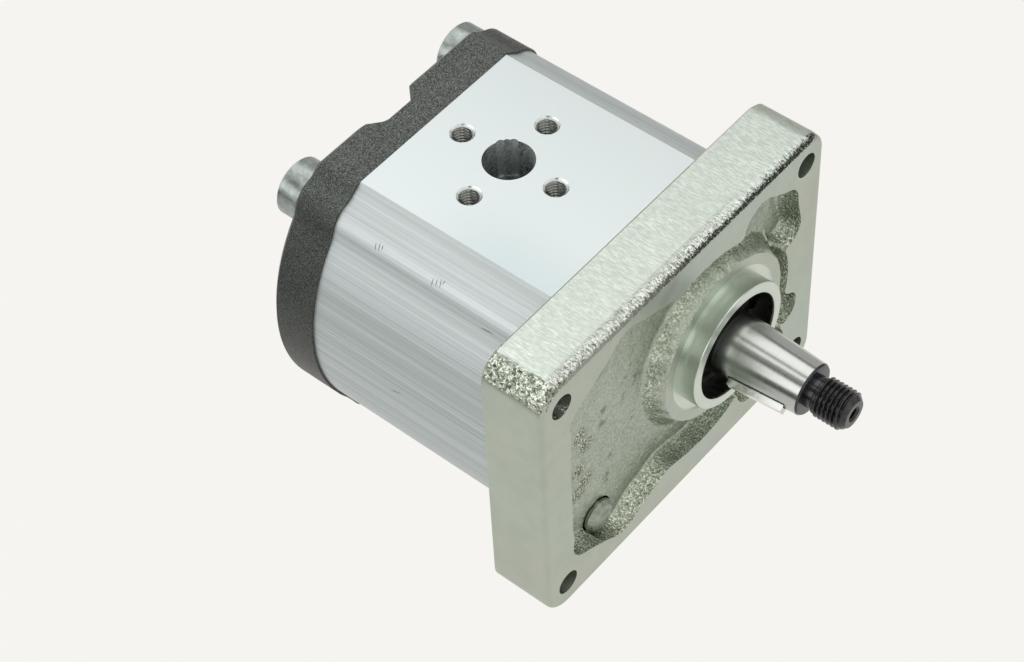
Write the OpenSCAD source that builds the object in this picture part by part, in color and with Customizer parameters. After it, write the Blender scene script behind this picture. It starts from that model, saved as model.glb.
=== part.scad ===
// External gear pump with a four-hole flange, a ported body and a keyed taper shaft.
// Millimetres. The origin is the centre of the pilot on the flange face. +X runs out along the
// drive shaft, +Z points out of the pressure port, and the driven gear lies on the -Y side.

/* [Front cover] */
// Distance between the mounting holes along Y
mount_pitch_w = 96; // [92:0.5:104]
// Distance between the mounting holes along Z
mount_pitch_h = 71.5; // [69:0.5:80]
// Distance from the mounting holes' middles to the flange's two short sides
mount_edge_w = 7.5; // [6:0.5:12]
// Distance from the mounting holes' middles to the flange's two long sides
mount_edge_h = 8.5; // [7:0.5:12]
// Diameter of the four mounting holes
mount_hole_d = 7; // [6.5:0.5:9]
// Thickness of the front cover
cover_t = 18.5; // [17:0.5:24]
// Corner radius of the flange
flange_corner_r = 7.5; // [5:0.5:8]
// Rounding of the flange's front edges
front_edge_r = 1.6; // [0.6:0.2:2]
// Chamfer of the flange's rear edges
rear_edge = 0.7; // [0.3:0.1:1]
// Diameter of the pilot ring
pilot_d = 36.5; // [36:0.5:38]
// Height of the pilot ring above the flange face
pilot_h = 4.5; // [3:0.5:7]
// Radius of the machined face round the pilot
boss_face_r = 24; // [23:0.25:25]
// Spread of the boss from that face down to the floor of the pocket
boss_spread = 3; // [1:0.5:4]
// Width of the turned relief round the foot of the pilot
relief_w = 2.7; // [1:0.1:3]
// Depth of that relief
relief_depth = 0.4; // [0.2:0.1:0.6]
// Depth of the cast pocket in the flange face
pocket_depth = 5; // [3:0.5:6]
// Draft of the pocket's walls, over their whole depth
pocket_draft = 1.8; // [0.5:0.1:2.5]
// Width of the flange's rim beside the pocket at the driven gear's end
rim_driven = 10.4; // [10:0.2:12]
// Width of the rim beside the pocket at the drive shaft's end
rim_drive = 8.3; // [8:0.1:10]
// Width of the rim along the flange's two long sides
rim_long = 4.7; // [4:0.1:6]
// Radius of the pocket's corners
pocket_corner_r = 5.4; // [4.6:0.2:6]
// Free width of the pocket's floor round the foot of the boss
boss_clear = 3; // [2:0.5:4]

/* [Housing] */
// Length of the body between the covers
body_len = 61; // [56:1:80]
// Radius of the body's round sides
body_r = 50.4; // [49.5:0.1:51.5]
// Width across the two port flats
across_flats = 84; // [80:0.5:86]
// Radius of the ribs that carry the cover screws
rib_r = 9; // [8.4:0.1:9.4]
// Radius that blends each rib into the round side
rib_fillet = 4; // [2:0.5:5]
// Thickness of the rear cover
rear_t = 13.3; // [12:0.1:18]
// Overhang of the rear cover past the body's round sides
rear_overhang = 0.7; // [0.2:0.1:1]
// Chamfer of the rear cover's outer edge
rear_chamfer = 1.2; // [0.6:0.1:2]
// Depth of the relief across the rear cover
rear_relief_depth = 4.6; // [2:0.2:5]
// Width of that relief at its floor
rear_relief_w = 11; // [8:0.5:14]
// Sideways run of its steep side, on the driven gear's side
rear_relief_steep = 2; // [1:0.5:4]
// Sideways run of its shallow side, on the drive shaft's side
rear_relief_shallow = 5.4; // [3:0.2:7]
// Rounding of the relief's edges on the rear face
rear_relief_r = 3; // [1:0.2:4]
// Distance of the relief's middle from the housing's middle
rear_relief_offset = -3; // [-4:0.5:2]

/* [Ports] */
// Distance from the rear face of the body to the port centres
port_from_rear = 24; // [22:0.5:26]
// Bore of the pressure port
pressure_d = 13.5; // [12:0.5:15]
// Bore of the suction port
suction_d = 20; // [18:0.5:20]
// Depth of each port's full bore, before it narrows
port_depth = 18; // [10:1:20]
// Step at which each port narrows on its way to the gears, on the radius
port_step = 0.6; // [0.3:0.1:1.5]
// Bolt circle of the pressure port
pressure_pcd = 30; // [29:0.5:32]
// Bolt circle of the suction port
suction_pcd = 40; // [39:0.5:41]
// Angle of the suction port's bolt holes round their circle
suction_turn = 45; // [35:5:55]
// Tapping drill of the pressure port's holes (M6)
pressure_tap_d = 5; // [4.5:0.1:5.5]
// Tapping drill of the suction port's holes (M8)
suction_tap_d = 6.8; // [6:0.1:7]
// Depth of the tapped holes
tap_depth = 13; // [8:1:14]
// Width of the countersink on each tapped hole
tap_sink = 0.8; // [0.3:0.1:1]

/* [Gears] */
// Distance between the two gear axes
gear_distance = 31; // [30.5:0.1:31.5]
// Teeth on each gear
teeth = 12; // [11:1:13]
// Pressure angle of the teeth in degrees
pressure_angle = 25; // [22:1:26]
// Tooth height above the pitch circle, in modules
addendum_ratio = 1; // [0.9:0.05:1]
// Tooth depth below the pitch circle, in modules
dedendum_ratio = 1.2; // [1.15:0.05:1.25]
// Free play between meshing flanks
backlash = 0.08; // [0.04:0.02:0.2]
// Width of the gears' room between the bearing blocks
gear_room = 21; // [18:0.5:24]
// Play on each side of a gear
side_play = 0.05; // [0.03:0.01:0.1]
// Gap between the tooth tips and the bore of the body
tip_gap = 0.07; // [0.04:0.01:0.12]

/* [Bearings] */
// Length of the front bearing block
front_block_t = 24; // [22:0.5:27]
// Gap round the bearing blocks in the bore of the body
block_gap = 0.03; // [0.02:0.01:0.06]
// Diameter of the shaft journals
journal_d = 18; // [17.5:0.1:18.5]
// Wall of the bearing bushes
bush_wall = 1; // [0.8:0.1:1.5]
// Running gap between journal and bush, on the radius
journal_gap = 0.03; // [0.02:0.01:0.05]
// Distance of each bush from the faces of its block
bush_recess = 0.5; // [0.3:0.1:1.5]
// Gap that stands for a pressed seat, on the radius
seat_gap = 0.01; // [0.01:0.01:0.02]
// Depth of the relief pockets beside the tooth mesh
mesh_relief = 1.2; // [0.5:0.1:2]

/* [Drive shaft end] */
// Distance from the flange face at which the seal journal ends
journal_out = 2; // [1:0.5:2.5]
// Distance from the flange face at which the taper starts
taper_start = 3; // [3:0.2:5]
// Distance from the flange face to the small end of the taper
taper_end = 27; // [25:0.5:32]
// Diameter of the taper at its small end
taper_small_d = 14.7; // [14:0.1:15]
// Length over which the taper's diameter grows by 1
taper_ratio = 8; // [7:0.5:10]
// Chamfer at the small end of the taper
taper_chamfer = 0.5; // [0.3:0.1:0.8]
// Diameter of the neck behind the thread
neck_d = 9.3; // [8:0.1:10]
// Length of the neck
neck_len = 2.3; // [1.5:0.1:4]
// Major diameter of the thread
thread_d = 11; // [10.5:0.1:12]
// Distance from the flange face to the tip of the shaft
shaft_tip = 39.8; // [39:0.1:46]
// Chamfer at the end of the thread
tip_chamfer = 1.6; // [0.8:0.1:2]
// Diameter of the centre hole in the tip
centre_hole_d = 4.6; // [3:0.1:5]
// Depth of the centre hole
centre_hole_depth = 4; // [2:0.5:6]
// Width of the key
key_w = 3; // [2.5:0.1:4]
// Height of the key
key_h = 5; // [4:0.1:5.5]
// Length of the key
key_len = 16; // [12:0.5:16]
// Height of the key above the taper
key_proud = 1.4; // [1:0.1:2]
// Distance from the flange face to the inner end of the key
key_start = 7.9; // [6:0.1:8.5]
// Free length of the key slot past the key
slot_spare = 1.1; // [0.5:0.1:1.5]
// Angle of the key round the shaft, from +Y towards +Z
key_angle = 205; // [0:5:355]

/* [Shaft seal] */
// Bore of the pilot, which takes the shaft seal
seal_bore_d = 30; // [29.5:0.1:30.5]
// Width of the shaft seal
seal_w = 7; // [6:0.5:8]
// Distance from the flange face back to the retaining ring's groove
ring_depth = 1.5; // [1:0.1:2.5]
// Thickness of the retaining ring
ring_t = 1.2; // [1:0.1:1.5]
// Depth of the retaining ring's groove in the bore
ring_groove = 0.7; // [0.5:0.1:1]
// Width of the retaining ring in the middle of its arc
ring_w = 2.9; // [2.4:0.1:3.2]
// Diameter of the shaft's passage behind the seal
passage_d = 21; // [20:0.5:23]

/* [Seals and fasteners] */
// Section of the racetrack seals between body and covers
body_seal_d = 1.8; // [1.5:0.1:2.2]
// Distance from the bore of the body to the seal's groove
body_seal_land = 1.6; // [1.2:0.1:2]
// Width of the pressure seals in the bearing blocks
pressure_seal_w = 2; // [1.6:0.1:2.2]
// Depth of the pressure seals and their backup rings
pressure_seal_t = 2; // [1.5:0.1:2.4]
// Land between the pressure seal and the rim of its block
pressure_seal_land = 1.6; // [1.2:0.1:2]
// Width of the backup rings
backup_w = 0.8; // [0.6:0.1:1]
// Diameter of the cover screws
screw_d = 10; // [9:0.5:10]
// Distance between the cover screws along Y
screw_pitch_w = 61; // [59:0.5:62]
// Distance between the cover screws along Z
screw_pitch_h = 60; // [59:0.5:61]
// Gap round the screws in their passage, on the radius
screw_gap = 0.3; // [0.2:0.05:0.5]
// Diameter of the screw heads
screw_head_d = 16; // [15:0.5:17]
// Height of the screw heads
screw_head_h = 7; // [6:0.5:10]
// Width across the flats of the hexagon sockets
socket_w = 8; // [6:0.5:8]
// Height of the screw tips above the floor of the pocket
screw_proud = 2; // [0.5:0.5:2.5]
// Diameter of the dowels
dowel_d = 6; // [5:0.5:6]
// Length of the dowels
dowel_len = 12; // [10:1:16]

/* [Hidden] */
$fn = 96;

// Cuts run this far past the face they open
over = 1;
// Gap that keeps a seal or a dowel free of its seat
slip = 0.02;
// Chamfer that breaks the edges of turned pieces
edge_break = 0.5;

// Outer size of the flange, from its mounting holes
flange_w = mount_pitch_w + 2 * mount_edge_w;
flange_h = mount_pitch_h + 2 * mount_edge_h;

// Places along X
body_front = -cover_t;
body_rear = body_front - body_len;
rear_face = body_rear - rear_t;
gear_front = body_front - front_block_t;
gear_rear = gear_front - gear_room;
rear_block_t = body_len - front_block_t - gear_room;
port_x = body_rear + port_from_rear;

// Places across the housing
driven_y = -gear_distance;
mid_y = -gear_distance / 2;
flat_z = across_flats / 2;

// Gear form
pitch_r = gear_distance / 2;
module_mm = gear_distance / teeth;
tip_r = pitch_r + addendum_ratio * module_mm;
root_r = pitch_r - dedendum_ratio * module_mm;
base_r = pitch_r * cos(pressure_angle);
bore_r = tip_r + tip_gap;
block_r = bore_r - block_gap;
journal_r = journal_d / 2;
bush_r = journal_r + journal_gap + bush_wall;
block_bore_r = bush_r + seat_gap;

// Seals
seal_bore_r = seal_bore_d / 2;
ring_front = -ring_depth;
seal_front = ring_front - ring_t - 2 * slip;
seal_rear = seal_front - seal_w;
body_groove_r = bore_r + body_seal_land;
pressure_groove_r = block_r - pressure_seal_land;
backup_r = pressure_groove_r - pressure_seal_w;

// Shaft seal: wall and front web of its case, radius of its lip, inner radius of the web,
// radius of the spring and its place as [radius, distance forward of the seal's rear face]
case_wall = 1.3;
case_front = 1;
lip_r = journal_r + 0.05;
case_inner_r = lip_r + 1.6;
spring_r = 0.75;
spring_place = [lip_r + 2.9, seal_w * 0.27];

// Degrees in one radian
rad = 180 / PI;

// Shapes drawn in the (Y, Z) plane and raised along +Z are turned to stand on the plane x and
// run along +X.
module from_x(x) {
    translate([x, 0, 0]) rotate([90, 0, 90]) children();
}

// Round bar along X from x0 up to x1
module bar(x0, x1, r) {
    from_x(x0) cylinder(h = x1 - x0, r = r);
}

// Cone along X with radius r0 at x0 and r1 at x1
module cone(x0, x1, r0, r1) {
    from_x(x0) cylinder(h = x1 - x0, r1 = r0, r2 = r1);
}

// Copies at the four corners of a rectangle round the housing's middle, in the (Y, Z) plane
module at_corners(pitch_w, pitch_h) {
    for (sy = [-1, 1], sz = [-1, 1])
        translate([mid_y + sy * pitch_w / 2, sz * pitch_h / 2]) children();
}

// Copies on both gear axes
module on_both_axes() {
    for (y = [0, driven_y]) translate([y, 0]) children();
}

// Copies at the two dowels, on opposite sides of the gear bores, in the (Y, Z) plane
module at_dowels() {
    dowel_reach = bore_r + body_seal_land + body_seal_d + dowel_d;
    for (s = [-1, 1])
        translate([mid_y + s * (pitch_r + dowel_reach * cos(28)), s * dowel_reach * sin(28)])
            children();
}

// Front cover

// Half outline of the flange plate's section, out to the distance u
module plate_section(u) {
    polygon([[0, -cover_t], [u - rear_edge, -cover_t], [u, -cover_t + rear_edge],
             [u, -front_edge_r], [0, -front_edge_r]]);
    translate([0, -front_edge_r]) square([u - front_edge_r, front_edge_r]);
    translate([u - front_edge_r, -front_edge_r]) circle(front_edge_r);
}

// Straight run of the flange plate along its local Z, as wide as twice u
module plate_run(u, run) {
    linear_extrude(run, center = true) {
        plate_section(u);
        mirror([1, 0]) plate_section(u);
    }
}

module flange_plate() {
    straight_w = flange_w - 2 * flange_corner_r;
    straight_h = flange_h - 2 * flange_corner_r;
    translate([0, mid_y, 0]) {
        rotate([90, 0, 90]) rotate([90, 0, 90]) plate_run(flange_h / 2, straight_w);
        rotate([0, 0, -90]) plate_run(flange_w / 2, straight_h);
        for (sy = [-1, 1], sz = [-1, 1])
            translate([0, sy * straight_w / 2, sz * straight_h / 2]) rotate([90, 0, 90])
                rotate_extrude() intersection() {
                    plate_section(flange_corner_r);
                    translate([0, -cover_t]) square([flange_corner_r, cover_t]);
                }
    }
}

// One lobe of the pocket: drafted discs, each [y, z, radius at the flange face], joined
module pocket_lobe(discs) {
    hull() for (d = discs)
        from_x(-pocket_depth) translate([d[0], d[1], 0])
            cylinder(h = pocket_depth + over, r1 = d[2] - pocket_draft,
                     r2 = d[2] + pocket_draft * over / pocket_depth, $fn = 32);
}

module pocket() {
    // Middles of the corner discs, from the rims and from the ends of the cover screws
    driven_side = mid_y - flange_w / 2 + rim_driven + pocket_corner_r;
    drive_side = mid_y + flange_w / 2 - rim_drive - pocket_corner_r;
    screw_y = screw_pitch_w / 2;
    screw_z = screw_pitch_h / 2;
    corner_z = screw_z - pocket_corner_r;
    // Discs that swell past the screws, and those that lead from there to the boss
    lobe_r = pocket_corner_r + 1;
    lobe_z = flange_h / 2 - rim_long - lobe_r;
    shoulder_r = screw_d * 0.9;
    // Discs round the boss, the last ones beside the driven gear's axis
    round_r = boss_face_r + boss_clear;
    round_z = round_r * 0.22;
    near_y = driven_y * 0.2;
    far_y = driven_y * 0.6;
    pocket_lobe([[0, 0, round_r], [near_y, round_z, round_r], [near_y, -round_z, round_r],
                 [far_y, boss_clear, round_r + 1], [far_y, -boss_clear, round_r + 1]]);
    // Wide part beside the driven gear, swelling past its two screws
    pocket_lobe([for (sz = [-1, 1]) each [
        [driven_side, sz * corner_z, pocket_corner_r],
        [mid_y - screw_y + lobe_r, sz * lobe_z, lobe_r],
        [mid_y - screw_y + 2 * screw_d, sz * (screw_z - screw_d / 2), shoulder_r]]]);
    // Two lobes beside the boss, each running round the end of a screw
    for (sz = [-1, 1])
        pocket_lobe([[mid_y + screw_y, sz * screw_z, screw_d * 0.7],
                     [drive_side - boss_clear / 2, sz * corner_z, pocket_corner_r],
                     [drive_side, sz * screw_z / 2, pocket_corner_r]]);
}

module front_cover() {
    color("#b9c2b4")
    difference() {
        union() {
            difference() {
                flange_plate();
                pocket();
            }
            cone(-pocket_depth, 0, boss_face_r + boss_spread, boss_face_r);
            bar(-relief_depth, pilot_h, pilot_d / 2);
        }
        // Relief round the foot of the pilot
        difference() {
            bar(-relief_depth, over, pilot_d / 2 + relief_w);
            bar(-relief_depth - over, over + over, pilot_d / 2);
        }
        pilot_chamfer();
        // Seat of the shaft seal, groove of the retaining ring and passage for the shaft
        bar(seal_rear, pilot_h + over, seal_bore_r);
        bar(seal_front, ring_front, seal_bore_r + ring_groove);
        cone(pilot_h - edge_break, pilot_h + over, seal_bore_r, seal_bore_r + edge_break + over);
        bar(-cover_t - over, seal_rear + over, passage_d / 2);
        from_x(-cover_t - over) {
            at_corners(mount_pitch_w, mount_pitch_h)
                cylinder(h = cover_t + 2 * over, d = mount_hole_d);
            at_corners(screw_pitch_w, screw_pitch_h)
                cylinder(h = cover_t - pocket_depth + screw_proud + over, r = screw_d / 2 + slip);
            at_dowels() cylinder(h = dowel_len / 2 + over, r = dowel_d / 2 + slip);
        }
    }
}

// Ring that cuts the chamfer on the outer edge of the pilot
module pilot_chamfer() {
    start = pilot_h - edge_break;
    difference() {
        bar(start, pilot_h + over, pilot_d / 2 + over);
        cone(start, pilot_h + over, pilot_d / 2, pilot_d / 2 - edge_break - over);
    }
}

// Housing outline

// Fills the hollow between the housing's round side and one side of a screw rib with a flat.
// Its edges lie where a circle of the radius rib_fillet would touch both, and its ends are
// buried in them.
module rib_blend(side_r, r, side) {
    d = norm([screw_pitch_w, screw_pitch_h]) / 2;
    to_side = side_r + rib_fillet;
    to_rib = r + rib_fillet;
    aim = atan2(screw_pitch_h, screw_pitch_w);
    turn = acos((d * d + to_side * to_side - to_rib * to_rib) / (2 * d * to_side));
    rib = polar(d, aim);
    centre = polar(to_side, aim + side * turn);
    on_side = centre * side_r / to_side;
    on_rib = rib + (centre - rib) * r / to_rib;
    bury = 0.3 * (on_side - on_rib);
    polygon([[0, 0], on_side + bury, on_rib - bury, rib]);
}

// Outline of body and covers in the (Y, Z) plane, grown outwards on its round sides
module housing_outline(grow = 0) {
    intersection() {
        union() {
            translate([mid_y, 0]) circle(body_r + grow, $fn = 180);
            at_corners(screw_pitch_w, screw_pitch_h) circle(rib_r + grow);
        }
        translate([mid_y, 0]) square([4 * body_r, across_flats], center = true);
    }
}

// Length t of that outline from x on, with the hollows beside its ribs blended
module housing(x, t, grow = 0) {
    side_r = body_r + grow;
    r = rib_r + grow;
    stands_out = norm([screw_pitch_w, screw_pitch_h]) / 2 + r > side_r;
    from_x(x) {
        linear_extrude(t) housing_outline(grow);
        if (stands_out)
            for (my = [0, 1], mz = [0, 1])
                translate([mid_y, 0, 0]) mirror([my, 0, 0]) mirror([0, mz, 0])
                    linear_extrude(t) {
                        rib_blend(side_r, r, -1);
                        rib_blend(side_r, r, 1);
                    }
    }
}

// Pump body

// Straight-sided loop round both gear axes, in the (Y, Z) plane
module racetrack(r) {
    on_both_axes() circle(r);
    translate([driven_y, -r]) square([gear_distance, 2 * r]);
}

// Groove for a racetrack seal, opening at x + depth and cut over both sides
module body_seal_groove(x, depth) {
    from_x(x) linear_extrude(depth) difference() {
        racetrack(body_groove_r + body_seal_d + 2 * slip);
        racetrack(body_groove_r - 2 * slip);
    }
}

// Bore of one port and its tapped holes, drawn upwards from z = 0 at the port face
module port_cuts(d, pcd, tap_d, first) {
    translate([0, 0, -port_depth]) cylinder(h = port_depth + over, d = d);
    translate([0, 0, -flat_z]) cylinder(h = flat_z, d = d - 2 * port_step);
    for (a = [0 : 90 : 270]) rotate(first + a) translate([pcd / 2, 0, 0]) {
        translate([0, 0, -tap_depth]) cylinder(h = tap_depth + over, d = tap_d);
        translate([0, 0, -tap_sink])
            cylinder(h = tap_sink + over, r1 = tap_d / 2, r2 = tap_d / 2 + tap_sink + over);
    }
}

module pump_body() {
    color("#c9ced0")
    difference() {
        housing(body_rear, body_len);
        from_x(body_rear - over) {
            on_both_axes() cylinder(h = body_len + 2 * over, r = bore_r);
            at_corners(screw_pitch_w, screw_pitch_h)
                cylinder(h = body_len + 2 * over, r = screw_d / 2 + screw_gap);
            at_dowels() cylinder(h = dowel_len / 2 + over, r = dowel_d / 2 + slip);
        }
        from_x(body_front - dowel_len / 2)
            at_dowels() cylinder(h = dowel_len / 2 + over, r = dowel_d / 2 + slip);
        body_seal_groove(body_front - body_seal_d, body_seal_d + over);
        body_seal_groove(body_rear - over, body_seal_d + over);
        translate([port_x, mid_y, flat_z])
            port_cuts(pressure_d, pressure_pcd, pressure_tap_d, 0);
        translate([port_x, mid_y, -flat_z]) mirror([0, 0, 1])
            port_cuts(suction_d, suction_pcd, suction_tap_d, suction_turn);
    }
}

// Rear cover

// One side of the relief across the rear cover, from its foot up round its edge, in (distance
// from the foot, depth). The side leans over the distance run.
function relief_side(run, steps = 6) =
    let (lean = atan(rear_relief_depth / run),
         middle = [run + rear_relief_r * tan(lean / 2), rear_relief_r])
    concat([[0, rear_relief_depth]],
           [for (i = [steps : -1 : 0])
               middle - rear_relief_r * [sin(lean * i / steps), cos(lean * i / steps)]]);

// Half of the relief's section towards one side, in (Y, depth)
module relief_half(run) {
    side = relief_side(run);
    edge = side[len(side) - 1][0];
    shift = [rear_relief_w / 2, 0];
    polygon(concat([[0, -over], [0, rear_relief_depth]], [for (p = side) p + shift],
                   [[edge, -over] + shift]));
}

// Round end of radius r that widens over its first c and runs on into what it carries
module chamfered_end(r, c) {
    cylinder(h = c, r1 = r - c, r2 = r);
    translate([0, 0, c]) cylinder(h = over, r = r);
}

// Rear cover's solid: the grown outline with its outer edge chamfered
module rear_blank() {
    c = rear_chamfer;
    run_in = rear_face + c + over;
    housing(rear_face + c, rear_t - c, rear_overhang);
    intersection() {
        union() {
            translate([0, mid_y, 0])
                from_x(rear_face) chamfered_end(body_r + rear_overhang, c, $fn = 180);
            from_x(rear_face) at_corners(screw_pitch_w, screw_pitch_h)
                chamfered_end(rib_r + rear_overhang, c);
        }
        translate([0, mid_y + 2 * body_r, 0]) rotate([90, 0, 0]) linear_extrude(4 * body_r)
            polygon([[rear_face, -flat_z + c], [rear_face + c, -flat_z], [run_in, -flat_z],
                     [run_in, flat_z], [rear_face + c, flat_z], [rear_face, flat_z - c]]);
    }
}

module rear_cover() {
    color("#4b4843")
    difference() {
        rear_blank();
        translate([rear_face, mid_y + rear_relief_offset, 0]) rotate([0, 0, -90])
            translate([0, 0, -2 * flat_z]) linear_extrude(4 * flat_z) {
                relief_half(rear_relief_shallow);
                mirror([1, 0]) relief_half(rear_relief_steep);
            }
        from_x(rear_face - over) at_corners(screw_pitch_w, screw_pitch_h)
            cylinder(h = rear_t + 2 * over, r = screw_d / 2 + screw_gap);
        from_x(body_rear - dowel_len / 2) at_dowels()
            cylinder(h = dowel_len / 2 + over, r = dowel_d / 2 + slip);
    }
}

// Gears and shafts

// Involute function of an angle in degrees, as radians
function involute(a) = tan(a) - a / rad;

// Half of a tooth's angle at radius r, in degrees
function tooth_half_angle(r) =
    (PI * module_mm / 2 - backlash / 2) / gear_distance * rad
    + (involute(pressure_angle) - involute(acos(min(1, base_r / r)))) * rad;

function polar(r, a) = r * [cos(a), sin(a)];

// Points of one tooth about the angle a, from its root on one side to its root on the other
function tooth_points(a, steps = 6) =
    let (pitch = 360 / teeth,
         start = max(base_r, root_r),
         radii = [for (i = [0 : steps]) start + (tip_r - start) * i / steps])
    concat(
        [polar(root_r, a - pitch / 2), polar(root_r, a - tooth_half_angle(start) - 1)],
        [for (r = radii) polar(r, a - tooth_half_angle(r))],
        [for (i = [steps : -1 : 0]) polar(radii[i], a + tooth_half_angle(radii[i]))],
        [polar(root_r, a + tooth_half_angle(start) + 1)]);

// Gear outline with a tooth pointing at the angle first
module gear_outline(first) {
    polygon([for (i = [0 : teeth - 1]) each tooth_points(first + i * 360 / teeth)]);
}

// Gear between the bearing blocks and the rear journal, shared by both shafts
module gear_and_journal(first) {
    from_x(gear_rear + side_play) linear_extrude(gear_room - 2 * side_play) gear_outline(first);
    cone(body_rear + over, body_rear + over + edge_break, journal_r - edge_break, journal_r);
    bar(body_rear + over + edge_break, gear_rear + side_play + over, journal_r);
}

// Taper

// Radius of the taper at the distance x from the flange face
function taper_r(x) = taper_small_d / 2 + (taper_end - x) / taper_ratio / 2;

// Places a block on the key's seat: origin at the inner end of the key on the taper's surface,
// +X along the taper towards the tip and +Z away from the axis
module on_key_seat() {
    lean = atan(1 / taper_ratio / 2);
    rotate([key_angle - 90, 0, 0]) translate([key_start, 0, taper_r(key_start)])
        rotate([0, lean, 0]) children();
}

module drive_gear_shaft() {
    shoulder = taper_end + taper_chamfer;
    thread_start = shoulder + neck_len;
    lead_in = (thread_d - neck_d) / 2;
    color("#a9aaa8")
    difference() {
        union() {
            gear_and_journal(180);
            bar(gear_front - side_play - over, journal_out, journal_r);
            cone(journal_out, taper_start, journal_r, taper_r(taper_start));
            cone(taper_start, taper_end, taper_r(taper_start), taper_r(taper_end));
            cone(taper_end, shoulder, taper_r(taper_end), taper_r(taper_end) - taper_chamfer);
            bar(shoulder - over, thread_start, neck_d / 2);
            cone(thread_start, thread_start + lead_in, neck_d / 2, thread_d / 2);
            bar(thread_start + lead_in, shaft_tip - tip_chamfer, thread_d / 2);
            cone(shaft_tip - tip_chamfer, shaft_tip, thread_d / 2, thread_d / 2 - tip_chamfer);
        }
        on_key_seat() translate([0, -key_w / 2, key_proud - key_h])
            cube([key_len + slot_spare, key_w, key_h + over]);
        bar(shaft_tip - centre_hole_depth, shaft_tip + over, centre_hole_d / 2 - edge_break);
        cone(shaft_tip - edge_break, shaft_tip + over, centre_hole_d / 2 - edge_break,
             centre_hole_d / 2 + over);
    }
}

module shaft_key() {
    color("#d6d5cf") on_key_seat() translate([0, -key_w / 2, key_proud - key_h])
        cube([key_len, key_w, key_h]);
}

module driven_gear_shaft() {
    front_end = body_front - over;
    color("#a9aaa8") translate([0, driven_y, 0]) {
        gear_and_journal(180 / teeth);
        bar(gear_front - side_play - over, front_end - edge_break, journal_r);
        cone(front_end - edge_break, front_end, journal_r, journal_r - edge_break);
    }
}

// Bearing blocks, drawn with their cover side at z = 0 and their gear side at z = t

// Loop round both journals that stays open on the suction side, in the (Y, Z) plane
module three_loop(outer, inner) {
    intersection() {
        difference() {
            on_both_axes() circle(outer);
            on_both_axes() circle(inner);
        }
        translate([mid_y - 2 * gear_distance, -bore_r / 2])
            square([4 * gear_distance, 2 * bore_r]);
    }
}

module bearing_block(t) {
    relief_w = module_mm * 2.4;
    relief_start = module_mm * 1.2;
    difference() {
        linear_extrude(t) on_both_axes() circle(block_r);
        translate([0, 0, -over]) linear_extrude(t + 2 * over)
            on_both_axes() circle(block_bore_r);
        translate([0, 0, -over]) linear_extrude(pressure_seal_t + over)
            three_loop(pressure_groove_r, backup_r - backup_w);
        for (s = [-1, 1]) translate([mid_y, s * (relief_start + relief_w / 2), t])
            cube([relief_w, relief_w, 2 * mesh_relief], center = true);
    }
}

module front_bearing_block() {
    color("#b8a27a") translate([body_front, 0, 0]) mirror([1, 0, 0])
        rotate([90, 0, 90]) bearing_block(front_block_t);
}

module rear_bearing_block() {
    color("#b8a27a") from_x(body_rear) bearing_block(rear_block_t);
}

// Bush of the length t between x and x + t, on the axis at y
module bush(x, t, y) {
    color("#8c6f47") translate([0, y, 0]) difference() {
        bar(x + bush_recess, x + t - bush_recess, bush_r);
        bar(x, x + t, journal_r + journal_gap);
    }
}

module front_drive_bush() {
    bush(gear_front, front_block_t, 0);
}

module front_driven_bush() {
    bush(gear_front, front_block_t, driven_y);
}

module rear_drive_bush() {
    bush(body_rear, rear_block_t, 0);
}

module rear_driven_bush() {
    bush(body_rear, rear_block_t, driven_y);
}

// Shaft seal, revolved from (radius, distance forward of its rear face)

module shaft_seal_case() {
    outer = seal_bore_r - seat_gap;
    inner = outer - case_wall;
    edge = case_wall / 4;
    color("#3a3a38") from_x(seal_rear) rotate_extrude()
        polygon([[inner, edge], [outer, 2 * edge], [outer, seal_w - edge],
                 [outer - edge, seal_w], [case_inner_r, seal_w], [case_inner_r, seal_w - case_front],
                 [inner, seal_w - case_front]]);
}

module shaft_seal_lip() {
    wall = seal_bore_r - seat_gap - case_wall - slip;
    web = seal_w - case_front - slip;
    web_t = 1.2;
    // The head that carries the lip, from the contact edge out to the spring
    head_r = spring_place[0];
    head_rear = seal_w * 0.1;
    contact = spring_place[1];
    neck = seal_w * 0.5;
    neck_r = lip_r + 0.7;
    color("#1d1d1d") from_x(seal_rear) rotate_extrude() difference() {
        polygon([[case_inner_r - slip, seal_w - 0.1], [case_inner_r - slip, web], [wall, web],
                 [wall, web - web_t], [head_r - spring_r, web - web_t], [head_r - web_t, neck],
                 [head_r, contact + spring_r], [head_r, head_rear], [lip_r + web_t, head_rear],
                 [lip_r, contact], [neck_r, neck], [neck_r, seal_w * 0.75],
                 [lip_r + 0.1, seal_w - 0.3]]);
        translate(spring_place) circle(spring_r + slip, $fn = 32);
    }
}

module seal_garter_spring() {
    color("#8f9294") from_x(seal_rear) rotate_extrude()
        translate(spring_place) circle(spring_r, $fn = 32);
}

module seal_retaining_ring() {
    outer = seal_bore_r + ring_groove - slip;
    lug_hole_r = 0.9;
    lug_r = 3.1 * lug_hole_r;
    lug_reach = seal_bore_r - lug_r + 0.5;
    // Half angle of the ring's gap and angle of its lugs
    gap_angle = 14;
    lug_angle = gap_angle + 8;
    color("#30302f") from_x(ring_front - ring_t - slip) linear_extrude(ring_t) difference() {
        union() {
            difference() {
                circle(outer);
                translate([-ring_w / 6, 0]) circle(outer - ring_w);
                polygon([[0, 0], polar(2 * outer, -gap_angle), polar(2 * outer, gap_angle)]);
            }
            for (s = [-1, 1]) intersection() {
                translate(polar(lug_reach, s * lug_angle)) circle(lug_r);
                circle(outer);
            }
        }
        for (s = [-1, 1]) translate(polar(lug_reach, s * lug_angle)) circle(lug_hole_r);
    }
}

// Racetrack seals

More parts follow.
